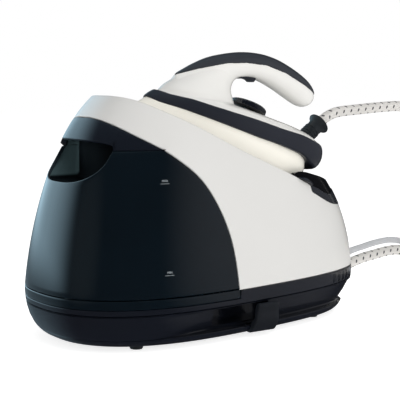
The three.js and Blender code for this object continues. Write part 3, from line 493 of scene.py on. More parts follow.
def hose_route():
    """From the iron, over in an arch, down to a coil on the floor and back into the station."""
    d, (cx, cy), r = HOSE["diameter"], HOSE["coil"], HOSE["radius"]
    start, ahead = relief_point(RELIEF["length"] + 0.3), relief_point(RELIEF["length"] + 2.8)
    arch = [start, ahead, (168.9, 0, 214), (176.5, 0, 217.7), (185, 0, 220.2), (194.5, 0, 221.5),
            (214.6, 0, 222.9), (237.6, 0, 224.4), (261.1, 0, 225.6), (281, 0, 226), (295.2, 0, 224.1),
            (308.5, -0.3, 218.6), (319.9, -1.1, 209.9), (328.6, -2.4, 198.5), (334.1, -4, 185.2),
            (336, -5.4, 171), (336, -6, 158), (336, -6, 150), (336, -6, 120), (336, -6, 104), (336, -6.3, 88),
            (336, -9.7, 70.6), (336, -20.4, 54.8), (336, -36.2, 44.1)]
    coil = []
    low, steps = d / 2 + 0.4, int(HOSE["turns"] * 16)
    for k in range(steps + 1):
        turn = HOSE["turns"] * k / steps
        angle = math.pi + 2 * math.pi * turn
        coil.append((cx + r * math.cos(angle), cy + r * math.sin(angle),
                     low + 12.35 * (HOSE["turns"] - turn)))
    back = [(388, cy + r, 7.8), (374, cy + r, 11.8), (360.8, cy + r, 18.6), (348, 11.3, 27),
            (333, 11.8, 37.2), (316, 12, 46.2), (299, 12, 51.2), (281, 12, 51.8), (260.5, 12, 49.4),
            (238, 12, 46.4), exit_point(HOSE_EXIT, HOSE_EXIT["length"] + 14.3),
            exit_point(HOSE_EXIT, HOSE_EXIT["length"] + 0.3)]
    return smooth_line(arch + coil + back, 700)


def mains_route():
    """From the station over to a coil wound two turns wide and three high, ending in the plug on top."""
    d, (cx, cy), r = MAINS["diameter"], MAINS["coil"], MAINS["radius"]
    outer, inner = r + d / 2 + 0.1, r - d / 2 - 0.1
    start, ahead = (exit_point(MAINS_EXIT, MAINS_EXIT["length"] + k) for k in (0.3, 12.3))
    run = [start, ahead, (243.6, 36, 52), (262.9, 35.7, 55.6), (282.4, 35, 59), (303.9, 33.5, 60.6),
           (322, 31.5, 57.6), (340, 29.8, 49), (356, 28.2, 37.5), (372, 26.6, 25), (388, cy - r - 3.8, 14),
           (404.6, cy - r - 3.8, 6.8)]
    shifts = (0, 0.85, 1, 2.7, 2.85, 4.55, 4.7, 5.75)
    radii = (outer, outer, inner, inner, outer, outer, inner, inner)
    lifts, layers = (0, 1.7, 1.85, 3.55, 3.7, 5.75), (0, 0, 1, 1, 2, 2)
    coil = []
    for turn in np.linspace(0.03, 5.75, 116):
        radius, layer = np.interp(turn, shifts, radii), np.interp(turn, lifts, layers)
        angle = -math.pi / 2 + 2 * math.pi * turn
        coil.append((cx + radius * math.cos(angle), cy + radius * math.sin(angle),
                     d / 2 + 0.3 + layer * (d + 0.2)))
    bend = 30.5
    tail = [(cx - inner + bend * (1 - math.cos(k)), cy - bend * math.sin(k), 19.7 + 13.7 * k / (math.pi / 2))
            for k in np.linspace(0.2, math.pi / 2, 7)]
    return smooth_line(run + coil + tail + [(cx - inner + bend + 2, cy - bend, 33.4)], 900)


UV_LENGTH = 100


def tube_mesh(name, path, diameter, look, sides=20):
    """A round tube along a path, with a UV of (length along by UV_LENGTH, part of a turn round)."""
    path = np.asarray(path, float)
    tangent = unit(np.gradient(path, axis=0))
    normal = np.cross(tangent[0], (0, 1, 0.01))
    bm = bmesh.new()
    uv = bm.loops.layers.uv.new("along")
    rings, runs, run = [], [], 0.0
    angles = np.arange(sides) * 2 * math.pi / sides
    for i, (point, t) in enumerate(zip(path, tangent)):
        normal = normal - t * np.dot(normal, t)
        normal /= np.linalg.norm(normal)
        side = np.cross(t, normal)
        ring = point + diameter / 2 * (np.outer(np.cos(angles), normal) + np.outer(np.sin(angles), side))
        rings.append([bm.verts.new(Vector(p) * MM) for p in ring])
        run += np.linalg.norm(point - path[max(i - 1, 0)])
        runs.append(run)
    for i in range(len(rings) - 1):
        for k in range(sides):
            m = (k + 1) % sides
            face = bm.faces.new((rings[i][k], rings[i][m], rings[i + 1][m], rings[i + 1][k]))
            places = ((runs[i], k), (runs[i], k + 1), (runs[i + 1], k + 1), (runs[i + 1], k))
            for loop, (u, v) in zip(face.loops, places):
                loop[uv].uv = (u / UV_LENGTH, v / sides)
    for ring in (rings[0][::-1], rings[-1]):
        bm.faces.new(ring)
    return object_from(bm, name, look, 50)


FLECK_PITCH, FLECK_ROWS = 11.0, 6
RIB_PITCH, RIBS_ROUND = 1.7, 22


def braid_material():
    """White braid with short dark yarn flecks in staggered rows, and the ribs of the weave as bump."""
    material = make_material("hose_braid", (0.66, 0.64, 0.61), 0.72, tint=0.03, sheen=0.25)
    tree = material.node_tree
    shader = tree.nodes["Principled BSDF"]
    uv = add_node(tree, "UVMap", {}, uv_map="along")
    parts = add_node(tree, "SeparateXYZ", {0: uv.outputs["UV"]}).outputs

    def work(operation, *values):
        return math_node(tree, operation, *values)

    along = work("MULTIPLY", parts[0], UV_LENGTH / FLECK_PITCH)
    around = work("MULTIPLY", parts[1], FLECK_ROWS)
    odd_row = work("MODULO", work("FLOOR", around), 2)
    lean = work("MULTIPLY", work("SUBTRACT", odd_row, 0.5), 0.5)
    in_row = work("SUBTRACT", work("FRACT", around), 0.5)
    shifted = work("MULTIPLY_ADD", odd_row, 0.5, work("MULTIPLY_ADD", in_row, lean, along))
    in_pitch = work("ABSOLUTE", work("SUBTRACT", work("FRACT", shifted), 0.5))
    long_way = work("DIVIDE", work("ABSOLUTE", in_row), 0.3)
    short_way = work("DIVIDE", in_pitch, 0.1)
    reach = work("ADD", work("POWER", long_way, 3), work("POWER", short_way, 2))
    plain = shader.inputs["Base Color"].links[0].from_socket
    colour = mix_colours(tree, work("LESS_THAN", reach, 1), plain, (0.035, 0.035, 0.045, 1))
    round_way = work("MULTIPLY", parts[1], RIBS_ROUND * 2 * math.pi)
    far_way = work("MULTIPLY", parts[0], UV_LENGTH / RIB_PITCH * math.pi)
    one, two = (work("SINE", work(operation, round_way, far_way)) for operation in ("ADD", "SUBTRACT"))
    bump = add_node(tree, "Bump", {"Height": work("MAXIMUM", one, two), "Strength": 0.5, "Distance": 0.0003})
    wire(shader, {"Base Color": colour, "Normal": bump.outputs["Normal"]})
    return material


MATERIALS["hose_braid"] = braid_material()


def make_hose():
    path = hose_route()
    hose = tube_mesh("steam_hose", path, HOSE["diameter"], "hose_braid")
    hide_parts("hose_arch", "hose_drop", "hose_coil", "hose_return")
    top, foot = (relief_point(RELIEF["length"] + 14) * MM).tolist(), (0.336, -0.006, 0.13)
    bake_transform(hose)


def make_mains():
    path = mains_route()
    lead = tube_mesh("mains_lead", path, MAINS["diameter"], "mains_grey", sides=14)
    place(lead, "station", "mains_grey", "mains_run", "mains_coil")
    plug = make_plug()


def make_plug():
    """A three-pin plug with a waisted back, a parting line and its pins upwards."""
    low, high = (np.array(v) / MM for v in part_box("plug_body"))
    middle, half = (low + high) / 2, (high - low) / 2
    rings = []
    angles = round_angles(72)
    c, s = np.cos(angles), np.sin(angles)
    x = np.sign(c) * np.abs(c) ** 0.42
    y = np.sign(s) * np.abs(s) ** 0.42
    y = y * np.where(x < 0, 1 - 0.38 * np.clip(-x, 0, 1) ** 2.2, 1)
    for level, grow in [(-1, 0.90), (-0.94, 0.96), (-0.82, 0.99), (0.30, 1.0), (0.34, 0.985), (0.38, 0.985),
                        (0.42, 1.0), (0.8, 0.985), (0.95, 0.95), (1, 0.9)]:
        rings.append(np.stack([middle[0] + half[0] * x * grow, middle[1] + half[1] * y * grow,
                               np.full_like(x, middle[2] + half[2] * level)], axis=1))
    plug = loft("plug", rings, "plug_white", crease=28)
    return place(plug, "station", "plug_white", "plug_body")


make_hose()
make_mains()


# ---------------------------------------------------------------- station
def from_tank_end(line):
    """Starts an [angle, z] line at the middle of the tank end."""
    return np.vstack([[0.0, line[0, 1]], line])


def to_heel_end(line):
    """Ends an [angle, z] line at the middle of the heel end."""
    return np.vstack([line, [math.pi, line[-1, 1]]])


def level_line(z, start, end):
    return np.stack([np.linspace(start, end, 60), np.full(60, float(z))], axis=1)


def mirror_round(near):
    """An [angle, z] line for one side, closed round the other side."""
    return np.concatenate([near, near[-2:0:-1] * [-1, 1]])


def joined(*pieces):
    """Lines with their point counts, each evened on the shell, end to end."""
    parts = [even_on_shell(line, count) for line, count in pieces]
    return np.concatenate([parts[0]] + [p[1:] for p in parts[1:]])


def seam_between(dx, low, high):
    """The tank seam moved by dx along X, from height high down to low, as [angle, z]."""
    line = SEAM + [dx, 0]
    line = line[(line[:, 1] <= high) & (line[:, 1] >= low)]
    first, last = ([np.interp(z, SEAM[::-1, 1], SEAM[::-1, 0]) + dx, z] for z in (high, low))
    return to_angles(np.vstack([first, line, last]))


def round_panel(name, low, high, rows, look, **settings):
    """A panel that goes all the way round; low and high are given for one side."""
    return panel(name, mirror_round(low), mirror_round(high), rows, look, closed=True, **settings)


FRONT_LIP = 223.0
SHELL_HEEL_EDGE = np.array([(72, 159), (93, 149.8), (99, 145.8), (105, 140.8), (112, 136), (120, 132),
                            (131, 127.6), (142, 124.6), (155, 123), (175, 121)], float)


def make_body_shell():
    """The white shell: up the tank seam, along the hood's rim and round the heel under the console."""
    seam = from_tank_end(seam_between(0.0, RIM_TOP + 0.5, FRONT_LIP - 0.4))
    low = joined((seam, 120), (level_line(RIM_TOP + 0.5, seam[-1, 0], math.pi), 150))
    rim_x = HOOD_RIM[:, 0]
    rim_middle = [0.0, np.interp(0.0, rim_x, HOOD_RIM[:, 1])]
    rim_ahead = np.vstack([HOOD_RIM[rim_x < 0], rim_middle])
    rim_behind = np.vstack([rim_middle, HOOD_RIM[(rim_x > 0) & (rim_x < 71.5)], SHELL_HEEL_EDGE])
    high = joined((from_tank_end(to_angles(rim_ahead)), 120), (to_heel_end(to_angles(rim_behind)), 150))
    # The station's shell takes the darker copy of white_gloss: painted shade.
    made = round_panel("body_shell_skin", low, high, 26, "white_gloss_shaded", edge=1.4, thickness=3.2, back=9)
    place(made, "station", "white_gloss", "body_shell")


RECESS_HALF_WIDTH, RECESS_DEPTH, RECESS_RISE = 52, 31, 9


def opening_line(base, rise, count):
    """One edge of the finger recess's opening, from its middle out to the crest, as [angle, z]."""
    out = []
    for k in np.linspace(math.pi / 2, 0, count):
        y = RECESS_HALF_WIDTH * abs(math.cos(k)) ** (2 / 3)
        z = base + rise * abs(math.sin(k)) ** (2 / 3)
        out.append([angle_at_width(y, z), z])
    out[0][0] = 0.0
    return np.array(out)


FLANGE_LOW, FLANGE_TOP, PANEL_LOW = 44.4, 53.1, 53.9


def make_tank():
    """The tank's flange, the tall smoked panel above it, the finger recess and the lid band."""
    flange_end = seam_between(-0.5, FLANGE_LOW, 53)[-1, 0]
    flange_top = seam_between(-0.5, 53, 53.4)[0, 0]
    open_panel("tank_flange", level_line(FLANGE_LOW, 0, flange_end), level_line(FLANGE_TOP, 0, flange_top), 5,
               "tank_smoke", edge=0.8, thickness=2.5)
    seam = seam_between(-0.5, PANEL_LOW, CREST - 0.3)
    edge = opening_line(CREST - 0.3, -RECESS_DEPTH, 60)
    end = seam[-1, 0]
    cuts = (0, 0.34 * end, 0.66 * end, end)
    low = joined(*((level_line(PANEL_LOW, a, b), n) for a, b, n in zip(cuts, cuts[1:], (60, 60, 90))))
    high = joined((edge, 60), (level_line(CREST - 0.3, edge[-1, 0], seam[0, 0]), 60), (seam, 90))
    open_panel("tank_skin", low, high, 26, "tank_smoke", "tank_shell", edge=1.3)
    make_recess()
    make_mark("MAX", -95, 162)
    make_mark("MIN", -100, 77)
    arch = opening_line(CREST + 0.1, RECESS_RISE, 50)
    low = joined((arch, 50), (level_line(CREST + 0.1, arch[-1, 0], seam[0, 0]), 50))
    high = even_on_shell(from_tank_end(seam_between(-0.5, CREST + 0.1, FRONT_LIP - 1.2)), 99)
    open_panel("tank_lid_skin", low, high, 12, "navy_satin", "tank_lid", edge=1.3)


MARK_DEPTH, MARK_PROUD = 0.06, 0.12


def make_mark(word, x, z):
    """A small printed level mark on the tank: a word over a short line."""
    angle = float(angle_at(x, z))
    centre, ahead, above = on_shell(angle, z), on_shell(angle + 0.01, z), on_shell(angle, z + 1.0)
    across, up = unit(ahead - centre), unit(above - centre)
    outward = np.cross(across, up)
    outward *= np.sign(outward @ [0, -1, 0])
    curve = bpy.data.curves.new(word, "FONT")
    curve.body, curve.size, curve.extrude, curve.align_x = word, 3.0, MARK_DEPTH, "CENTER"
    letters = bpy.data.objects.new(word, curve)
    mesh = letters.to_mesh()
    points = [v.co[:] for v in mesh.vertices]
    faces = [list(f.vertices) for f in mesh.polygons]
    count = len(points)
    line = ((-4.6, -1.9), (4.6, -1.9), (4.6, -1.6), (-4.6, -1.6))
    points += [(px, py, pz) for pz in (-MARK_DEPTH, MARK_DEPTH) for px, py in line]
    sides = ((3, 2, 1, 0), (4, 5, 6, 7), (0, 1, 5, 4), (1, 2, 6, 5), (2, 3, 7, 6), (3, 0, 4, 7))
    faces += [[count + k for k in side] for side in sides]
    placed = [centre + across * px + up * py + outward * (pz + MARK_PROUD) for px, py, pz in points]
    bpy.data.objects.remove(letters)
    made = new_object(f"mark_{word.lower()}", np.array(placed), faces, "mark", weld=1e-5)
    place(made, "tank", "tank_smoke")


def open_panel(name, low, high, rows, look, *nodes, **settings):
    """A panel of the tank wrapped round its end: both sides, but open towards the heel."""
    low, high = (np.concatenate([line[:0:-1] * [-1, 1], line]) for line in (low, high))
    place(panel(name, low, high, rows, look, **settings), "tank", look, *nodes)


CUP_HALF_WIDTH, CUP_BACK, CUP_BEND = 52.5, -130.0, 3.5


def make_recess():
    """The cup behind the finger recess: its floor and sides on the tank, its ceiling on the lid."""
    for name, sign, reach, look in (("tank_recess", -1, RECESS_DEPTH, "tank_smoke"),
                                    ("lid_recess", 1, RECESS_RISE, "navy_satin")):
        across = np.linspace(sign * math.pi, 0, 81)
        ys = CUP_HALF_WIDTH * np.sign(np.cos(across)) * np.abs(np.cos(across)) ** (2 / 3)
        zs = CREST + sign * (0.1 + (reach + 0.3) * np.abs(np.sin(across)) ** (2 / 3))
        zs = zs - 0.3 if sign < 0 else zs
        columns = []
        for y, z in zip(ys, zs):
            mouth = on_shell(angle_at_width(y, z), z)[0] + 2.6
            back = CUP_BACK + 14 * abs(y / CUP_HALF_WIDTH) ** 3
            start = back - CUP_BEND
            column = [(mouth, y, z), ((mouth + start) / 2, y, z), (start, y, z)]
            towards = unit(np.array([0.0, CREST]) - [y, z])
            for turn in np.array([1, 2, 3]) * math.pi / 6:
                edge_y, edge_z = np.array([y, z]) + towards * CUP_BEND * (1 - math.cos(turn))
                column.append((start + CUP_BEND * math.sin(turn), edge_y, edge_z))
            for part in (0.3, 0.65, 1.0):
                column.append((back, edge_y, edge_z + (CREST - edge_z) * part))
            columns.append(column)
        # The cup takes the recess look: painted shade inside and painted light on its far wall.
        made = sheet(name, np.array(columns), "recess")
        flip_towards(made, (-1, 0, 0))
        place(made, "tank", look)


def flip_towards(made, direction):
    """Turns a sheet's faces so that most of them look along direction."""
    total = sum((p.normal * p.area for p in made.data.polygons), Vector())
    if total.dot(Vector(direction)) < 0:
        made.data.flip_normals()


RIM_LOW, STEP_WIDTH = TRAY_TOP + 0.4, 0.002


def make_base_rim():
    """The navy ring under the shell, lower under the tank, with vent slots on its heel corner."""
    step = float(angle_at(-17.2, 48))
    past = step + STEP_WIDTH
    low = joined((level_line(RIM_LOW, 0, step), 90), (level_line(RIM_LOW, step, past), 2),
                 (level_line(RIM_LOW, past, math.pi), 140))
    high = joined((level_line(RIM_SHELF, 0, step), 90), ([[step, RIM_SHELF], [past, RIM_TOP]], 2),
                  (level_line(RIM_TOP, past, math.pi), 140))
    rim = round_panel("base_rim_skin", low, high, 7, "navy_gloss", edge=0.9, thickness=5, back=5)
    modify(rim, "WEIGHTED_NORMAL", keep_sharp=True)
    place(rim, "station", "navy_gloss", "base_rim")
    make_vents()


VENT_ANGLE, VENT_PITCH, VENT_MIDDLE = 2.17, 0.085, 45.6
VENT_HALF_WIDTH, VENT_HALF_HEIGHT = 1.25, 3.6


def make_vents():
    """Four upright slots near each heel corner: dark wells with a raised lip."""
    turn = round_angles(24)
    for side, side_name in ((1, "near"), (-1, "far")):
        for k in range(4):
            angle = VENT_ANGLE + VENT_PITCH * k
            centre, ahead = (on_shell(a, VENT_MIDDLE) * [1, side, 1] for a in (angle, angle + 0.01))
            tangent = unit(ahead - centre)
            outward = np.cross(tangent, (0, 0, 1)) * side
            rings = []
            for grow, depth in ((1.35, -0.4), (1.3, 0.22), (1.12, 0.3), (1.0, 0.1), (0.95, -1.6),
                                (0.4, -1.7)):
                width = VENT_HALF_WIDTH * grow
                height = VENT_HALF_HEIGHT + VENT_HALF_WIDTH * (grow - 1)
                upright = width * np.sin(turn) + np.sign(np.sin(turn)) * height
                rings.append(centre + outward * depth + np.outer(width * np.cos(turn), tangent)
                             + np.outer(upright, (0, 0, 1)))
            vent = loft(f"vent_{side_name}_{k + 1}", rings, "black_matt")
            place(vent, "station", "black_matt")


def smooth_share(x, start, full):
    t = np.clip((np.asarray(x, float) - start) / (full - start), 0, 1)
    return t * t * (3 - 2 * t)


CHANNEL_DEPTH = 13


def tray_inset(x, z, inset, share):
    """How far the tray stands in at x: the hose channel, opening out into a slope at the heel."""
    channel, heel = smooth_share(x, -125, -40), smooth_share(x, 110, 180)
    depth = CHANNEL_DEPTH - heel * (4 + 7 * np.clip((z - 17) / 20, 0, 1))
    lip = 4.2 * heel * np.clip((15 - z) / 3, 0, 1)
    return inset * (channel if share else 1) + share * channel * depth + (0 if share else lip)


def make_base_tray():
    """The tray: rounded underside, hose channel with a lip below it, the clip's pocket and slot."""
    rows = [(4.0, 40, 0), (4.0, 9, 0), (4.2, 3, 0), (4.8, 1, 0), (5.8, 0.2, 0), (7.5, 0, 0), (9.6, 0, 0),
            (11.2, 0, 0), (12.2, 0.3, 0), (12.8, 1.0, 0), (13.1, 2.0, 0.25), (13.4, 0, 0.85), (14.6, 0, 0.97),
            (17, 0, 1), (25, 0, 1), (33, 0, 1), (35.4, 0, 0.97), (36.6, 0, 0.85), (37.0, 1.6, 0.25),
            (37.2, 0.8, 0), (37.5, 0.2, 0), (37.9, 0.2, 0), (38.2, 0.9, 0), (38.2, 7, 0)]
    near = np.linspace(0, math.pi, 241)
    angles = np.concatenate([near, -near[-2:0:-1]])
    rings = []
    for z, inset, share in rows:
        rings.append(on_shell(angles, z, lambda x, z=z, i=inset, s=share: tray_inset(x, z, i, s)))
    tray = loft("base_tray_skin", rings, "navy_gloss", crease=40)
    pocket = rounded_cutter((-42, -125, 16.2), (33, -61, 36), 4)
    cut_away(tray, pocket)
    cut_away(tray, block((3.4, -150, 2), (32.6, -76.1, 13.6)))
    place(tray, "station", "navy_gloss", "base_tray")


def rounded_cutter(low, high, radius):
    """A box for cutting, with its edges along Y rounded."""
    outline = []
    for cx, cz, start in ((high[0] - radius, high[2] - radius, 0), (low[0] + radius, high[2] - radius, 1),
                          (low[0] + radius, low[2] + radius, 2), (high[0] - radius, low[2] + radius, 3)):
        for k in range(5):
            a = (start + k / 4) * math.pi / 2
            outline.append((cx + radius * math.cos(a), cz + radius * math.sin(a)))
    rings = [[(x, y, z) for x, z in outline] for y in (low[1], high[1])]
    return loft("cutter", rings, "navy_gloss")


def make_clip():
    """The hose clip: a bent flap with rounded edges and a turned-out thumb edge, wider at its foot."""
    outline = smooth_line([(-77.2, 6.0), (-77.4, 9.4), (-81, 11.6), (-85, 14.6), (-90.8, 20.5), (-92.0, 27),
                           (-92.4, 33.5), (-94.4, 36.2), (-97.2, 35.6), (-97.2, 33), (-95.8, 27),
                           (-95.0, 18.5), (-91, 11), (-85.4, 5.2), (-80, 4.9), (-77.2, 6.0)], 72)[:-1]
    centre = outline.mean(0)
    flare, middle_height = 0.09, 20
    rings = []
    for x, edge, side in ((4.0, 0.86, -1), (4.3, 0.95, -1), (5.2, 1, -1), (11, 1, -1), (18, 1, 0), (25, 1, 1),
                          (30.8, 1, 1), (31.7, 0.95, 1), (32.0, 0.86, 1)):
        shape = centre + (outline - centre) * np.array([edge, 1 - (1 - edge) * 0.4])
        rings.append([(x + side * flare * (middle_height - z), y, z) for y, z in shape])
    clip = loft("cord_clip_flap", rings, "black_matt", crease=50)
    place(clip, "cord_clip", "black_matt", "cord_clip")


def make_console():
    """The dark cap under the iron's heel: a navy frame with a black glass panel above it."""
    edge, split, top = (even_on_shell(heel_console_line(line), 120)
                        for line in (CONSOLE_EDGE, CONSOLE_SPLIT, CONSOLE_TOP))
    made = heel_panel("console_frame", edge, split, 8, "navy_satin", -0.35)
    place(made, "station", "navy_satin", "heel_console")
    made = heel_panel("console_glass", split, top, 10, "console_glass", 0.5)
    place(made, "station", "black_gloss")
    make_console_top(top)


CONSOLE_SPLIT = np.array([(72.6, 159.1), (84, 153.6), (94.4, 148.9), (103, 145.6), (112, 142.3), (119, 139),
                          (125.5, 136.7), (134.1, 135.4), (142.8, 136.6), (150, 138.4), (158, 139.6)], float)
CONSOLE_TOP = np.array([(72.8, 160.2), (79.3, 162.4), (92, 161.6), (106.6, 158.4), (125.2, 154), (134, 151.5),
                        (141, 149.6), (146, 148.6), (151, 148.2)], float)


def heel_console_line(points):
    return to_heel_end(to_angles(smooth_line(points, 160)))


def heel_panel(name, low, high, rows, look, inset):
    """A panel wrapped round the heel end, open towards the tank."""
    low, high = (np.concatenate([line, line[-2::-1] * [-1, 1]]) for line in (low, high))
    return panel(name, low, high, rows, look, inset, edge=0.8, back=4)


ROOM_HALF_WIDTH = 57.5


def iron_room(x, y):
    """The lowest height at (x, y) reached by the resting iron, with a little room round its skirt."""
    heel_side = iron_outline(SOLE_NOSE, SOLE_HEEL + 8.5, ROOM_HALF_WIDTH)
    heel_side = heel_side[(heel_side[:, 0] > -24) & (heel_side[:, 1] <= 0)][::-1]
    reach = np.interp(np.abs(y), -heel_side[:, 1], heel_side[:, 0])
    lean, (from_x, _, from_z) = math.tan(IRON_TILT), IRON.translation
    under_sole = from_z - (x - from_x) * lean - 2 / math.cos(IRON_TILT)
    behind_heel = from_z + (x - from_x) / lean - reach / math.sin(IRON_TILT)
    return np.where(np.abs(y) < ROOM_HALF_WIDTH, np.maximum(under_sole, behind_heel), 999)


def make_console_top(line):
    """The console's roof, dished in the middle and open round the iron's heel down to below the deck."""
    edge = on_shell(line[:, 0], line[:, 1], 1.2)
    share = np.linspace(-1, 1, 97)
    x = edge[:, :1] - 0.5 * (1 - share**2)
    y = edge[:, 1:2] * share
    z = np.minimum(edge[:, 2:] - 0.6 - 2.4 * (1 - share**4), iron_room(x, y))
    made = sheet("console_roof", np.stack([x, y, z], axis=-1), "console_glass")
    flip_towards(made, (0, 0, 1))
    place(made, "station", "black_gloss")


def keep_cad_node(name, material, bevel=0.0):
    """A CAD node kept as it is, shaded smooth, with its own material and softened edges."""
    node = NODES[name]
    node.data.materials.clear()
    node.data.materials.append(MATERIALS[material])
    for polygon in node.data.polygons:
        polygon.use_smooth = True
        polygon.material_index = 0
    node.data.set_sharp_from_angle(angle=rad(32))
    if bevel:
        modifier = node.modifiers.new("bevel", "BEVEL")
        modifier.width = bevel * MM
        modifier.segments = 2
        modifier.limit_method = "ANGLE"
        modifier.angle_limit = rad(40)


KEPT = {
    "bay_wall": ("white_gloss", 0), "rest_deck": ("white_gloss", 0), "control_panel": ("black_gloss", 0.3),
    "indicator_lens_1": ("lens_amber", 0), "indicator_lens_2": ("lens_amber", 0), "boiler": ("steel", 0),
    "steam_valve": ("brass", 0.4), "water_pump": ("black_matt", 0.4), "control_board": ("board_green", 0.2),
    "tank_coupling": ("charcoal_satin", 0.2), "tank_valve": ("charcoal_satin", 0.2),
    "filler_cap": ("charcoal_satin", 0.4), "suction_tube": ("silicone", 0), "pressure_tube": ("silicone", 0),
    "steam_tube": ("silicone", 0), "iron_steam_tube": ("silicone", 0), "clip_pin": ("steel", 0.2),
    "heater_plate": ("cast_aluminium", 0.6), "thermostat": ("steel", 0.3),
    "trigger_switch": ("black_matt", 0.4),
    "plug_pin_earth": ("brass", 0.5), "plug_pin_live": ("brass", 0.5), "plug_pin_neutral": ("brass", 0.5),
    "soleplate": ("steel", 0.4), "hose_gland": ("rubber", 0.3), "mains_gland": ("mains_grey", 0.3),
    "power_button": ("charcoal_satin", 0.3), "eco_button": ("charcoal_satin", 0.3),
}
for kept_name, (kept_material, kept_bevel) in KEPT.items():
    keep_cad_node(kept_name, kept_material, kept_bevel)
for number in range(1, 5):
    keep_cad_node(f"foot_{number}", "rubber", 0.3)
    keep_cad_node(f"base_screw_{number}", "steel", 0.2)

make_body_shell()
make_tank()
make_base_rim()
make_base_tray()
make_clip()


# ---------------------------------------------------------------- iron
SOLE_NOSE, SOLE_HEEL = -186.0, 36.0


def bezier(points, count):
    t = np.linspace(0, 1, count)[:, None]
    a, b, c, d = (np.asarray(p, float) for p in points)
    return (1 - t) ** 3 * a + 3 * (1 - t) ** 2 * t * b + 3 * (1 - t) * t**2 * c + t**3 * d


def iron_outline(nose, heel, half):
    """The iron's plan outline from the nose along -Y to the heel and back, as [x, y]."""
    widest, count = -25, 40
    one = bezier(((nose, 0), (nose + 4, -0.42 * half), (-95, -half), (widest, -half)), count)
    two = bezier(((widest, -half), (widest + 45, -half), (heel, -0.98 * half), (heel, 0)), count)
    near = resample(np.concatenate([one, two[1:]]), 2 * count)
    return np.concatenate([near, near[-2:0:-1] * [1, -1]])


def nose_at(z, grow):
    return SOLE_NOSE + 0.72 * z - 1.4 * grow


BAND_HALF_WIDTH = 55.0


def ring_at(z, grow, heel):
    """One ring of the iron at height z (a number, or a function of x), grown sideways by grow."""
    height = z if callable(z) else (lambda x: np.full_like(x, float(z)))
    nose_x = np.array([-150.0])
    for _ in range(7):
        flat = iron_outline(nose_at(height(nose_x)[0], grow), heel + grow, BAND_HALF_WIDTH + grow)
        nose_x = flat[:1, 0]
    return np.column_stack([flat, height(flat[:, 0])])


def iron_loft(name, rings, look, slot, *nodes, body="iron", crease=35):
    """A closed skin through rings in the iron's own frame, on one of the iron's bodies."""
    made = loft(name, [on_iron(ring) for ring in rings], look, crease)
    place(made, body, slot, *nodes)


def make_skirt():
    """The cream skirt over the soleplate, rounded at its foot and tucked in under the band."""
    rings = []
    for z, grow in ((3.4, -6), (3.4, -2.2), (3.7, -1.0), (4.6, -0.25), (6.0, 0), (12, -0.35), (20, -0.6),
                    (28, -0.85), (34, -1.1), (44, -4)):
        rings.append(ring_at(z, grow, SOLE_HEEL + 0.2 * min(z, 30) - 1.4 * np.clip((12 - z) / 9, 0, 1) ** 2))
    iron_loft("iron_skirt", rings, "cream", "cream", "skirt")


# The band's lower and upper edges in the iron's side elevation, as [x, z].
BAND_LOW = np.array([(-165, 38), (-160.6, 36.5), (-157.4, 34.8), (-151.4, 32.8), (-142.3, 33.6),
                     (-129.7, 34.6), (-113.4, 35.2), (-100, 35.8), (-75.7, 37), (-47.4, 38.8), (-18.6, 42),
                     (-0.9, 43.2), (9.7, 44), (19.8, 43.2), (26, 41.8), (33, 40.4), (42, 39.4), (52, 39.4),
                     (66, 41)], float)
BAND_TOP = np.array([(-170, 46.4), (-152.3, 46.2), (-142.3, 45.4), (-133.8, 46.5), (-124.6, 48),
                     (-102.7, 49.5), (-79.3, 52), (-55.2, 55), (-24.3, 58.2), (-0.3, 62), (6.4, 63),
                     (22.7, 64), (44, 66), (66, 67.4)], float)


def line_height(table):
    return lambda x: np.interp(x, table[:, 0], table[:, 1])


def make_band():
    """The dark band round the iron's middle: it widens to the heel, where it hangs past the skirt."""
    low, top = line_height(BAND_LOW), line_height(BAND_TOP)

    def at(share, grow, heel):
        return ring_at(lambda x: low(x) * (1 - share) + top(x) * share, grow, heel)

    rings = [at(0.0, -5, 46)]
    for s in (0.0, 0.015, 0.05, 0.12, 0.25, 0.4, 0.55, 0.7, 0.82, 0.91, 0.97, 1.0):
        bulge = math.sqrt(max(0.0, 1 - (2 * s - 1.04) ** 2 / 1.09))
        low_edge, top_edge = 0.8 * max(0, 0.03 - s) / 0.03, 0.9 * max(0, s - 0.96) / 0.04
        grow = 0.6 + 0.35 * math.sin(math.pi * s) - 0.5 * s - low_edge - top_edge
        rings.append(at(s, grow, 50.5 + 13.2 * bulge))
    rings.append(at(1.0, -9, 46))
    iron_loft("iron_band", rings, "charcoal_satin", "charcoal_satin", "trim_band", crease=50)


make_skirt()
make_band()


def superellipse(count, power):
    a = round_angles(count)
    c, s = np.cos(a), np.sin(a)
    return np.sign(c) * np.abs(c) ** (2 / power), np.sign(s) * np.abs(s) ** (2 / power)


# The handle's top and underside in the iron's side elevation, and its half width.
HANDLE = np.array([
    (-136.5, 68.5, -128, 50, 6.5), (-127.2, 79.6, -113, 54, 8.4), (-118.6, 89.2, -100, 60, 10.2),
    (-105, 102, -86, 74, 12.4), (-90, 112.5, -75, 86, 13.8), (-69.4, 124.2, -64, 97.6, 15),
    (-48.3, 132, -49, 104.6, 15.5), (-29, 135.5, -33, 107.2, 15.6), (-8, 135.8, -13, 107, 15.5),
    (14.9, 133.4, 8, 105, 15.2), (26, 130.4, 20, 103.8, 14), (33.4, 126.4, 27.6, 103.9, 12.2),
    (38.2, 121.7, 32.6, 105.4, 9.6), (40, 118, 36.4, 109.2, 6)], float)
GRIP_EDGE = np.array([(-134.6, 70.9), (-117.2, 84.2), (-88.7, 103.4), (-67.3, 113.4), (-42.5, 121.8),
                      (-13.9, 124.8), (17, 123.5), (39.2, 121.6)], float)
# The hump that carries the front of the handle: height, front, rear and half width.
HUMP = ((44, -146, -40, 26), (50, -146, -43, 29), (58.7, -141, -50, 28), (70, -131, -59, 23),
        (80, -121, -67, 18.5), (90, -110, -68, 15), (97, -100, -64, 12.5))


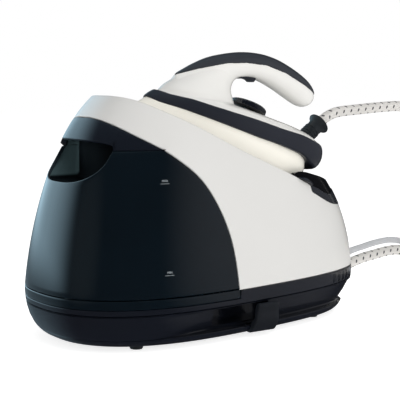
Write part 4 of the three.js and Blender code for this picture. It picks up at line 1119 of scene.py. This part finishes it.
def handle_parts(station):
    """A handle station's middle and its direction up in side elevation, its half height and half width."""
    top, low, half = station[[0, 1]], station[[2, 3]], station[4]
    middle, up = (top + low) / 2, (top - low) / 2
    height = np.linalg.norm(up)
    return middle, up / height, height, half


def handle_section(station):
    """One round section of the handle, as [x, y, z] in the iron's frame."""
    middle, up, height, half = handle_parts(station)
    c, s = superellipse(40, 2.5)
    along = np.outer(s * height, up)
    return np.column_stack([middle[0] + along[:, 0], c * half, middle[1] + along[:, 1]])


def dome_rings():
    """The upper shell from inside the band up to its top, which rises towards the heel."""
    top = line_height(BAND_TOP)

    def height(rise):
        def at(x):
            peak = 47 + 28.5 * (0.55 + 0.45 * smooth_share(x, -130, 40))
            low = top(x) - 3
            return low + (peak - low) * rise
        return at

    rings = [ring_at(lambda x: top(x) - 7, -1.9, 56)]
    for k in np.linspace(0, math.pi / 2, 13):
        shrink = 50.5 * (1 - math.cos(k)) ** 1.05
        rings.append(ring_at(height(math.sin(k)), -1.5 - shrink, 56))
    return rings


def hump_rings():
    rings = []
    c, s = np.cos(round_angles(48)), np.sin(round_angles(48))
    for z, front, rear, half in smooth_line(np.array(HUMP, float), 14):
        x = (front + rear) / 2 + (rear - front) / 2 * np.sign(c) * np.abs(c) ** 0.8
        y = half * np.sign(s) * np.abs(s) ** 1.1
        rings.append(np.column_stack([x, y, np.full_like(x, z)]))
    return rings


def make_iron_shell():
    """The white upper shell, its hump and its handle, run together with soft fillets."""
    plain = "white_gloss"
    shell = loft("iron_shell_skin", dome_rings(), plain)
    hump = loft("hump", hump_rings(), plain)
    handle = loft("handle", [handle_section(s) for s in smooth_line(HANDLE, 60)], plain)
    combine(shell, hump, "UNION")
    combine(shell, handle, "UNION")
    modify(shell, "REMESH", mode="VOXEL", voxel_size=1.3 * MM)
    modify(shell, "SMOOTH", factor=0.5, iterations=9)
    floor, radius = DIAL["z"], DIAL["radius"] + 0.7
    seat = [(0, floor), (radius, floor), (radius, 99), (0, 99)]
    cut_away(shell, turned("cutter", seat, plain, Matrix.Translation((DIAL["x"], 0, 0))))
    for vertex in shell.data.vertices:
        vertex.co = Vector(on_iron(np.array(vertex.co) / MM)) * MM
    reshade(shell, 40)
    place(shell, "iron", "white_gloss", "iron_shell")


def make_grip():
    """The soft strip over the handle, pointed at both ends."""
    edge = line_height(GRIP_EDGE)
    from_x, to_x = GRIP_EDGE[0, 0] - 1.5, GRIP_EDGE[-1, 0] + 2.2
    rings = []
    table = np.linspace(0, math.pi / 2 * 1.35, 120)
    for station in smooth_line(HANDLE, 140):
        middle, axis, height, half = handle_parts(station)

        def at(turn, proud):
            c, s = np.cos(turn), np.sin(turn)
            rise = np.sign(c) * np.abs(c) ** 0.8 * (height + proud)
            side = np.sign(s) * np.abs(s) ** 0.8 * (half + proud)
            return np.column_stack([middle[0] + axis[0] * rise, side, middle[1] + axis[1] * rise])

        points = at(table, 0)
        below = points[:, 2] < edge(points[:, 0])
        if not from_x < station[0] < to_x:
            continue
        reach = max(table[np.argmax(below)] if below.any() else table[-1], 0.02)
        outer = at(np.linspace(-reach, reach, 25), 0.9)
        rim = 0.12 * min(1, reach / 0.4)
        outer[0], outer[-1] = at(np.array([-reach, reach]), 0.2)
        outer[1], outer[-2] = at(np.array([-reach + rim / 3, reach - rim / 3]), 0.75)
        inner = at(np.linspace(reach * 0.98, -reach * 0.98, 13), -1.2)
        rings.append(np.concatenate([outer, inner]))
    # The grip takes the lighter copy of charcoal_satin: painted highlight on the handle's top.
    iron_loft("handle_grip_skin", rings, "grip_satin_lit", "charcoal_satin", "handle_grip", crease=50)


DIAL = {"x": -37.0, "z": 72.6, "radius": 21.0}


def make_dial():
    """The steam dial: a knurled rim under a dished cap with a pointer ridge."""
    x, z, r = DIAL["x"], DIAL["z"], DIAL["radius"]
    angles = round_angles(144)
    knurl = 0.35 * (0.5 + 0.5 * np.cos(angles * 36))
    rings = []
    for radius, height, depth in ((0.5, 0.3, 0), (r - 1, 0.3, 0), (r - 0.4, 0.5, 1), (r - 0.2, 1.2, 1),
                                  (r - 0.2, 4.2, 1), (r - 0.6, 5.0, 0.5), (r - 1.4, 5.8, 0), (r - 3, 6.6, 0),
                                  (r - 6, 6.9, 0), (r - 8, 6.5, 0), (0.5, 6.2, 0)):
        reach = radius - knurl * depth
        rings.append(np.column_stack([x + reach * np.cos(angles), reach * np.sin(angles),
                                      np.full_like(angles, z + height)]))
    iron_loft("steam_dial_cap", rings, "navy_gloss", "navy_gloss", "steam_dial", body="dial", crease=40)
    c, s = superellipse(24, 3)
    ridge = []
    for height, half, length in ((6.0, 1.3, 6.6), (6.9, 1.2, 6.4), (7.0, 0.9, 6.0)):
        ridge.append(np.column_stack([x + 5.5 + length * c, half * s, np.full(24, z + height)]))
    iron_loft("dial_pointer", ridge, "mark", "white_gloss", body="dial")


def make_trigger():
    """The steam trigger under the front of the handle, with a lip at its free end."""
    outline = smooth_line([(-63.4, 103), (-63.6, 97.4), (-60, 98.6), (-54, 101.2), (-48, 102.0),
                           (-44.6, 101.2), (-43.2, 102.6), (-42.8, 106.6), (-54, 107.2),
                           (-63.4, 103)], 60)[:-1]
    centre = outline.mean(0)
    rings = []
    for y, grow in ((-5.9, 0.9), (-5.6, 0.96), (-4.8, 1), (0, 1), (4.8, 1), (5.6, 0.96), (5.9, 0.9)):
        shape = centre + (outline - centre) * grow
        rings.append(np.column_stack([shape[:, 0], np.full(len(shape), y), shape[:, 1]]))
    iron_loft("trigger_cap", rings, "charcoal_satin", "charcoal_satin", "trigger", body="trigger", crease=40)


def make_relief():
    """The hose's strain relief: ribs on a tapering sleeve and a flared collar."""
    length, sleeve = RELIEF["length"], 8.6
    profile = [(0, -5), (sleeve, -5), (sleeve, 4)]
    for k in range(5):
        z = 5.2 + 3.5 * k
        profile += [(sleeve, z - 0.9), (9.3, z - 0.5), (9.35, z + 0.5), (sleeve, z + 0.9)]
    collar = ((8.7, 9.5), (9.2, 7), (10.6, 4.4), (12.4, 3.2), (12.9, 2.3), (12.6, 1.4), (11.4, 0.6), (9, 0.1),
              (6.6, 0), (0, 0))
    profile += [(radius, length - back) for radius, back in collar]
    turn = IRON @ Matrix.Translation((RELIEF["x"], 0, RELIEF["z"])) @ Matrix.Rotation(RELIEF["tilt"], 4, "Y")
    relief = turned("hose_relief_sleeve", profile, "rubber", turn, 48, 30)
    place(relief, "iron", "rubber", "hose_relief")


make_iron_shell()
make_grip()
make_dial()
make_trigger()
make_relief()
make_console()


# ---------------------------------------------------------------- light, floor and finish
def make_floor():
    """A pale floor with a little light of its own, so that it runs evenly into the background."""
    bm = bmesh.new()
    corners = [bm.verts.new(p) for p in ((-6, -6, 0), (6, -6, 0), (6, 6, 0), (-6, 6, 0))]
    bm.faces.new(corners)
    MATERIALS["floor"] = make_material("floor", (0.8, 0.8, 0.8), 0.6, tint=0.003, specular=0.0)
    glow = {"Emission Color": (1, 1, 1, 1), "Emission Strength": 0.8}
    wire(MATERIALS["floor"].node_tree.nodes["Principled BSDF"], glow)
    floor = object_from(bm, "floor", "floor")
    floor.visible_glossy = False


def make_area(name, location, target, size, power):
    data = bpy.data.lights.new(name, "AREA")
    data.shape = "RECTANGLE"
    data.size, data.size_y = size
    data.energy = power
    lamp = bpy.data.objects.new(name, data)
    lamp.location = location
    lamp.rotation_euler = (Vector(location) - Vector(target)).to_track_quat("Z", "Y").to_euler()
    lamp.visible_glossy = False
    bpy.context.scene.collection.objects.link(lamp)


# Soft patches of the studio that the gloss reflects: direction, where each starts and is full, colour,
# and how much of it is left below the horizon.
GLOWS = (
    ((-0.36, 0.93, -0.02), 0.50, 0.96, (0.86, 1.27, 1.52), 0.15),
    ((0.85, -0.5, 0.1), 0.62, 1.0, (0.24, 0.24, 0.25), 0.9),
    ((0.0, 0.1, 1.0), 0.6, 1.0, (0.12, 0.17, 0.20), 1),
    ((-1.0, -0.1, 0.2), 0.86, 1.0, (0.07, 0.08, 0.08), 1),
)


def make_world():
    """White behind the object, even light on it, and soft bright patches in what it reflects."""
    world = bpy.data.worlds.new("studio")
    world.use_nodes = True
    tree = world.node_tree
    where = add_node(tree, "TexCoord", {}).outputs["Generated"]
    height = add_node(tree, "SeparateXYZ", {0: where}).outputs["Z"]

    def vector_node(operation, first, second, output="Vector"):
        return add_node(tree, "VectorMath", {0: first, 1: second}, operation=operation).outputs[output]

    seen = (0.03, 0.03, 0.033)
    for direction, start, full, colour, below in GLOWS:
        facing = vector_node("DOT_PRODUCT", where, Vector(direction).normalized(), "Value")
        glow = vector_node("MULTIPLY", smooth_step(tree, facing, start, full), colour)
        glow = vector_node("MULTIPLY", glow, smooth_step(tree, height, -0.12, 0.04, below))
        seen = vector_node("ADD", glow, seen)
    path = add_node(tree, "LightPath", {}).outputs
    even = math_node(tree, "MULTIPLY_ADD", path["Is Camera Ray"], 0.68, 0.32)
    wire(tree.nodes["Background"], {"Color": mix_colours(tree, path["Is Glossy Ray"], even, seen)})
    bpy.context.scene.world = world


make_floor()
make_area("overhead", (0.1, -0.3, 1.5), (0, 0, 0.1), (1.8, 1.4), 10)
make_area("left", (-1.5, -0.6, 0.8), (0, 0, 0.15), (0.8, 1.3), 4)
make_area("front_right", (0.7, -1.6, 0.6), (0, 0, 0.12), (1.0, 0.9), 9)
make_world()
bpy.context.scene.view_settings.view_transform = "Standard"
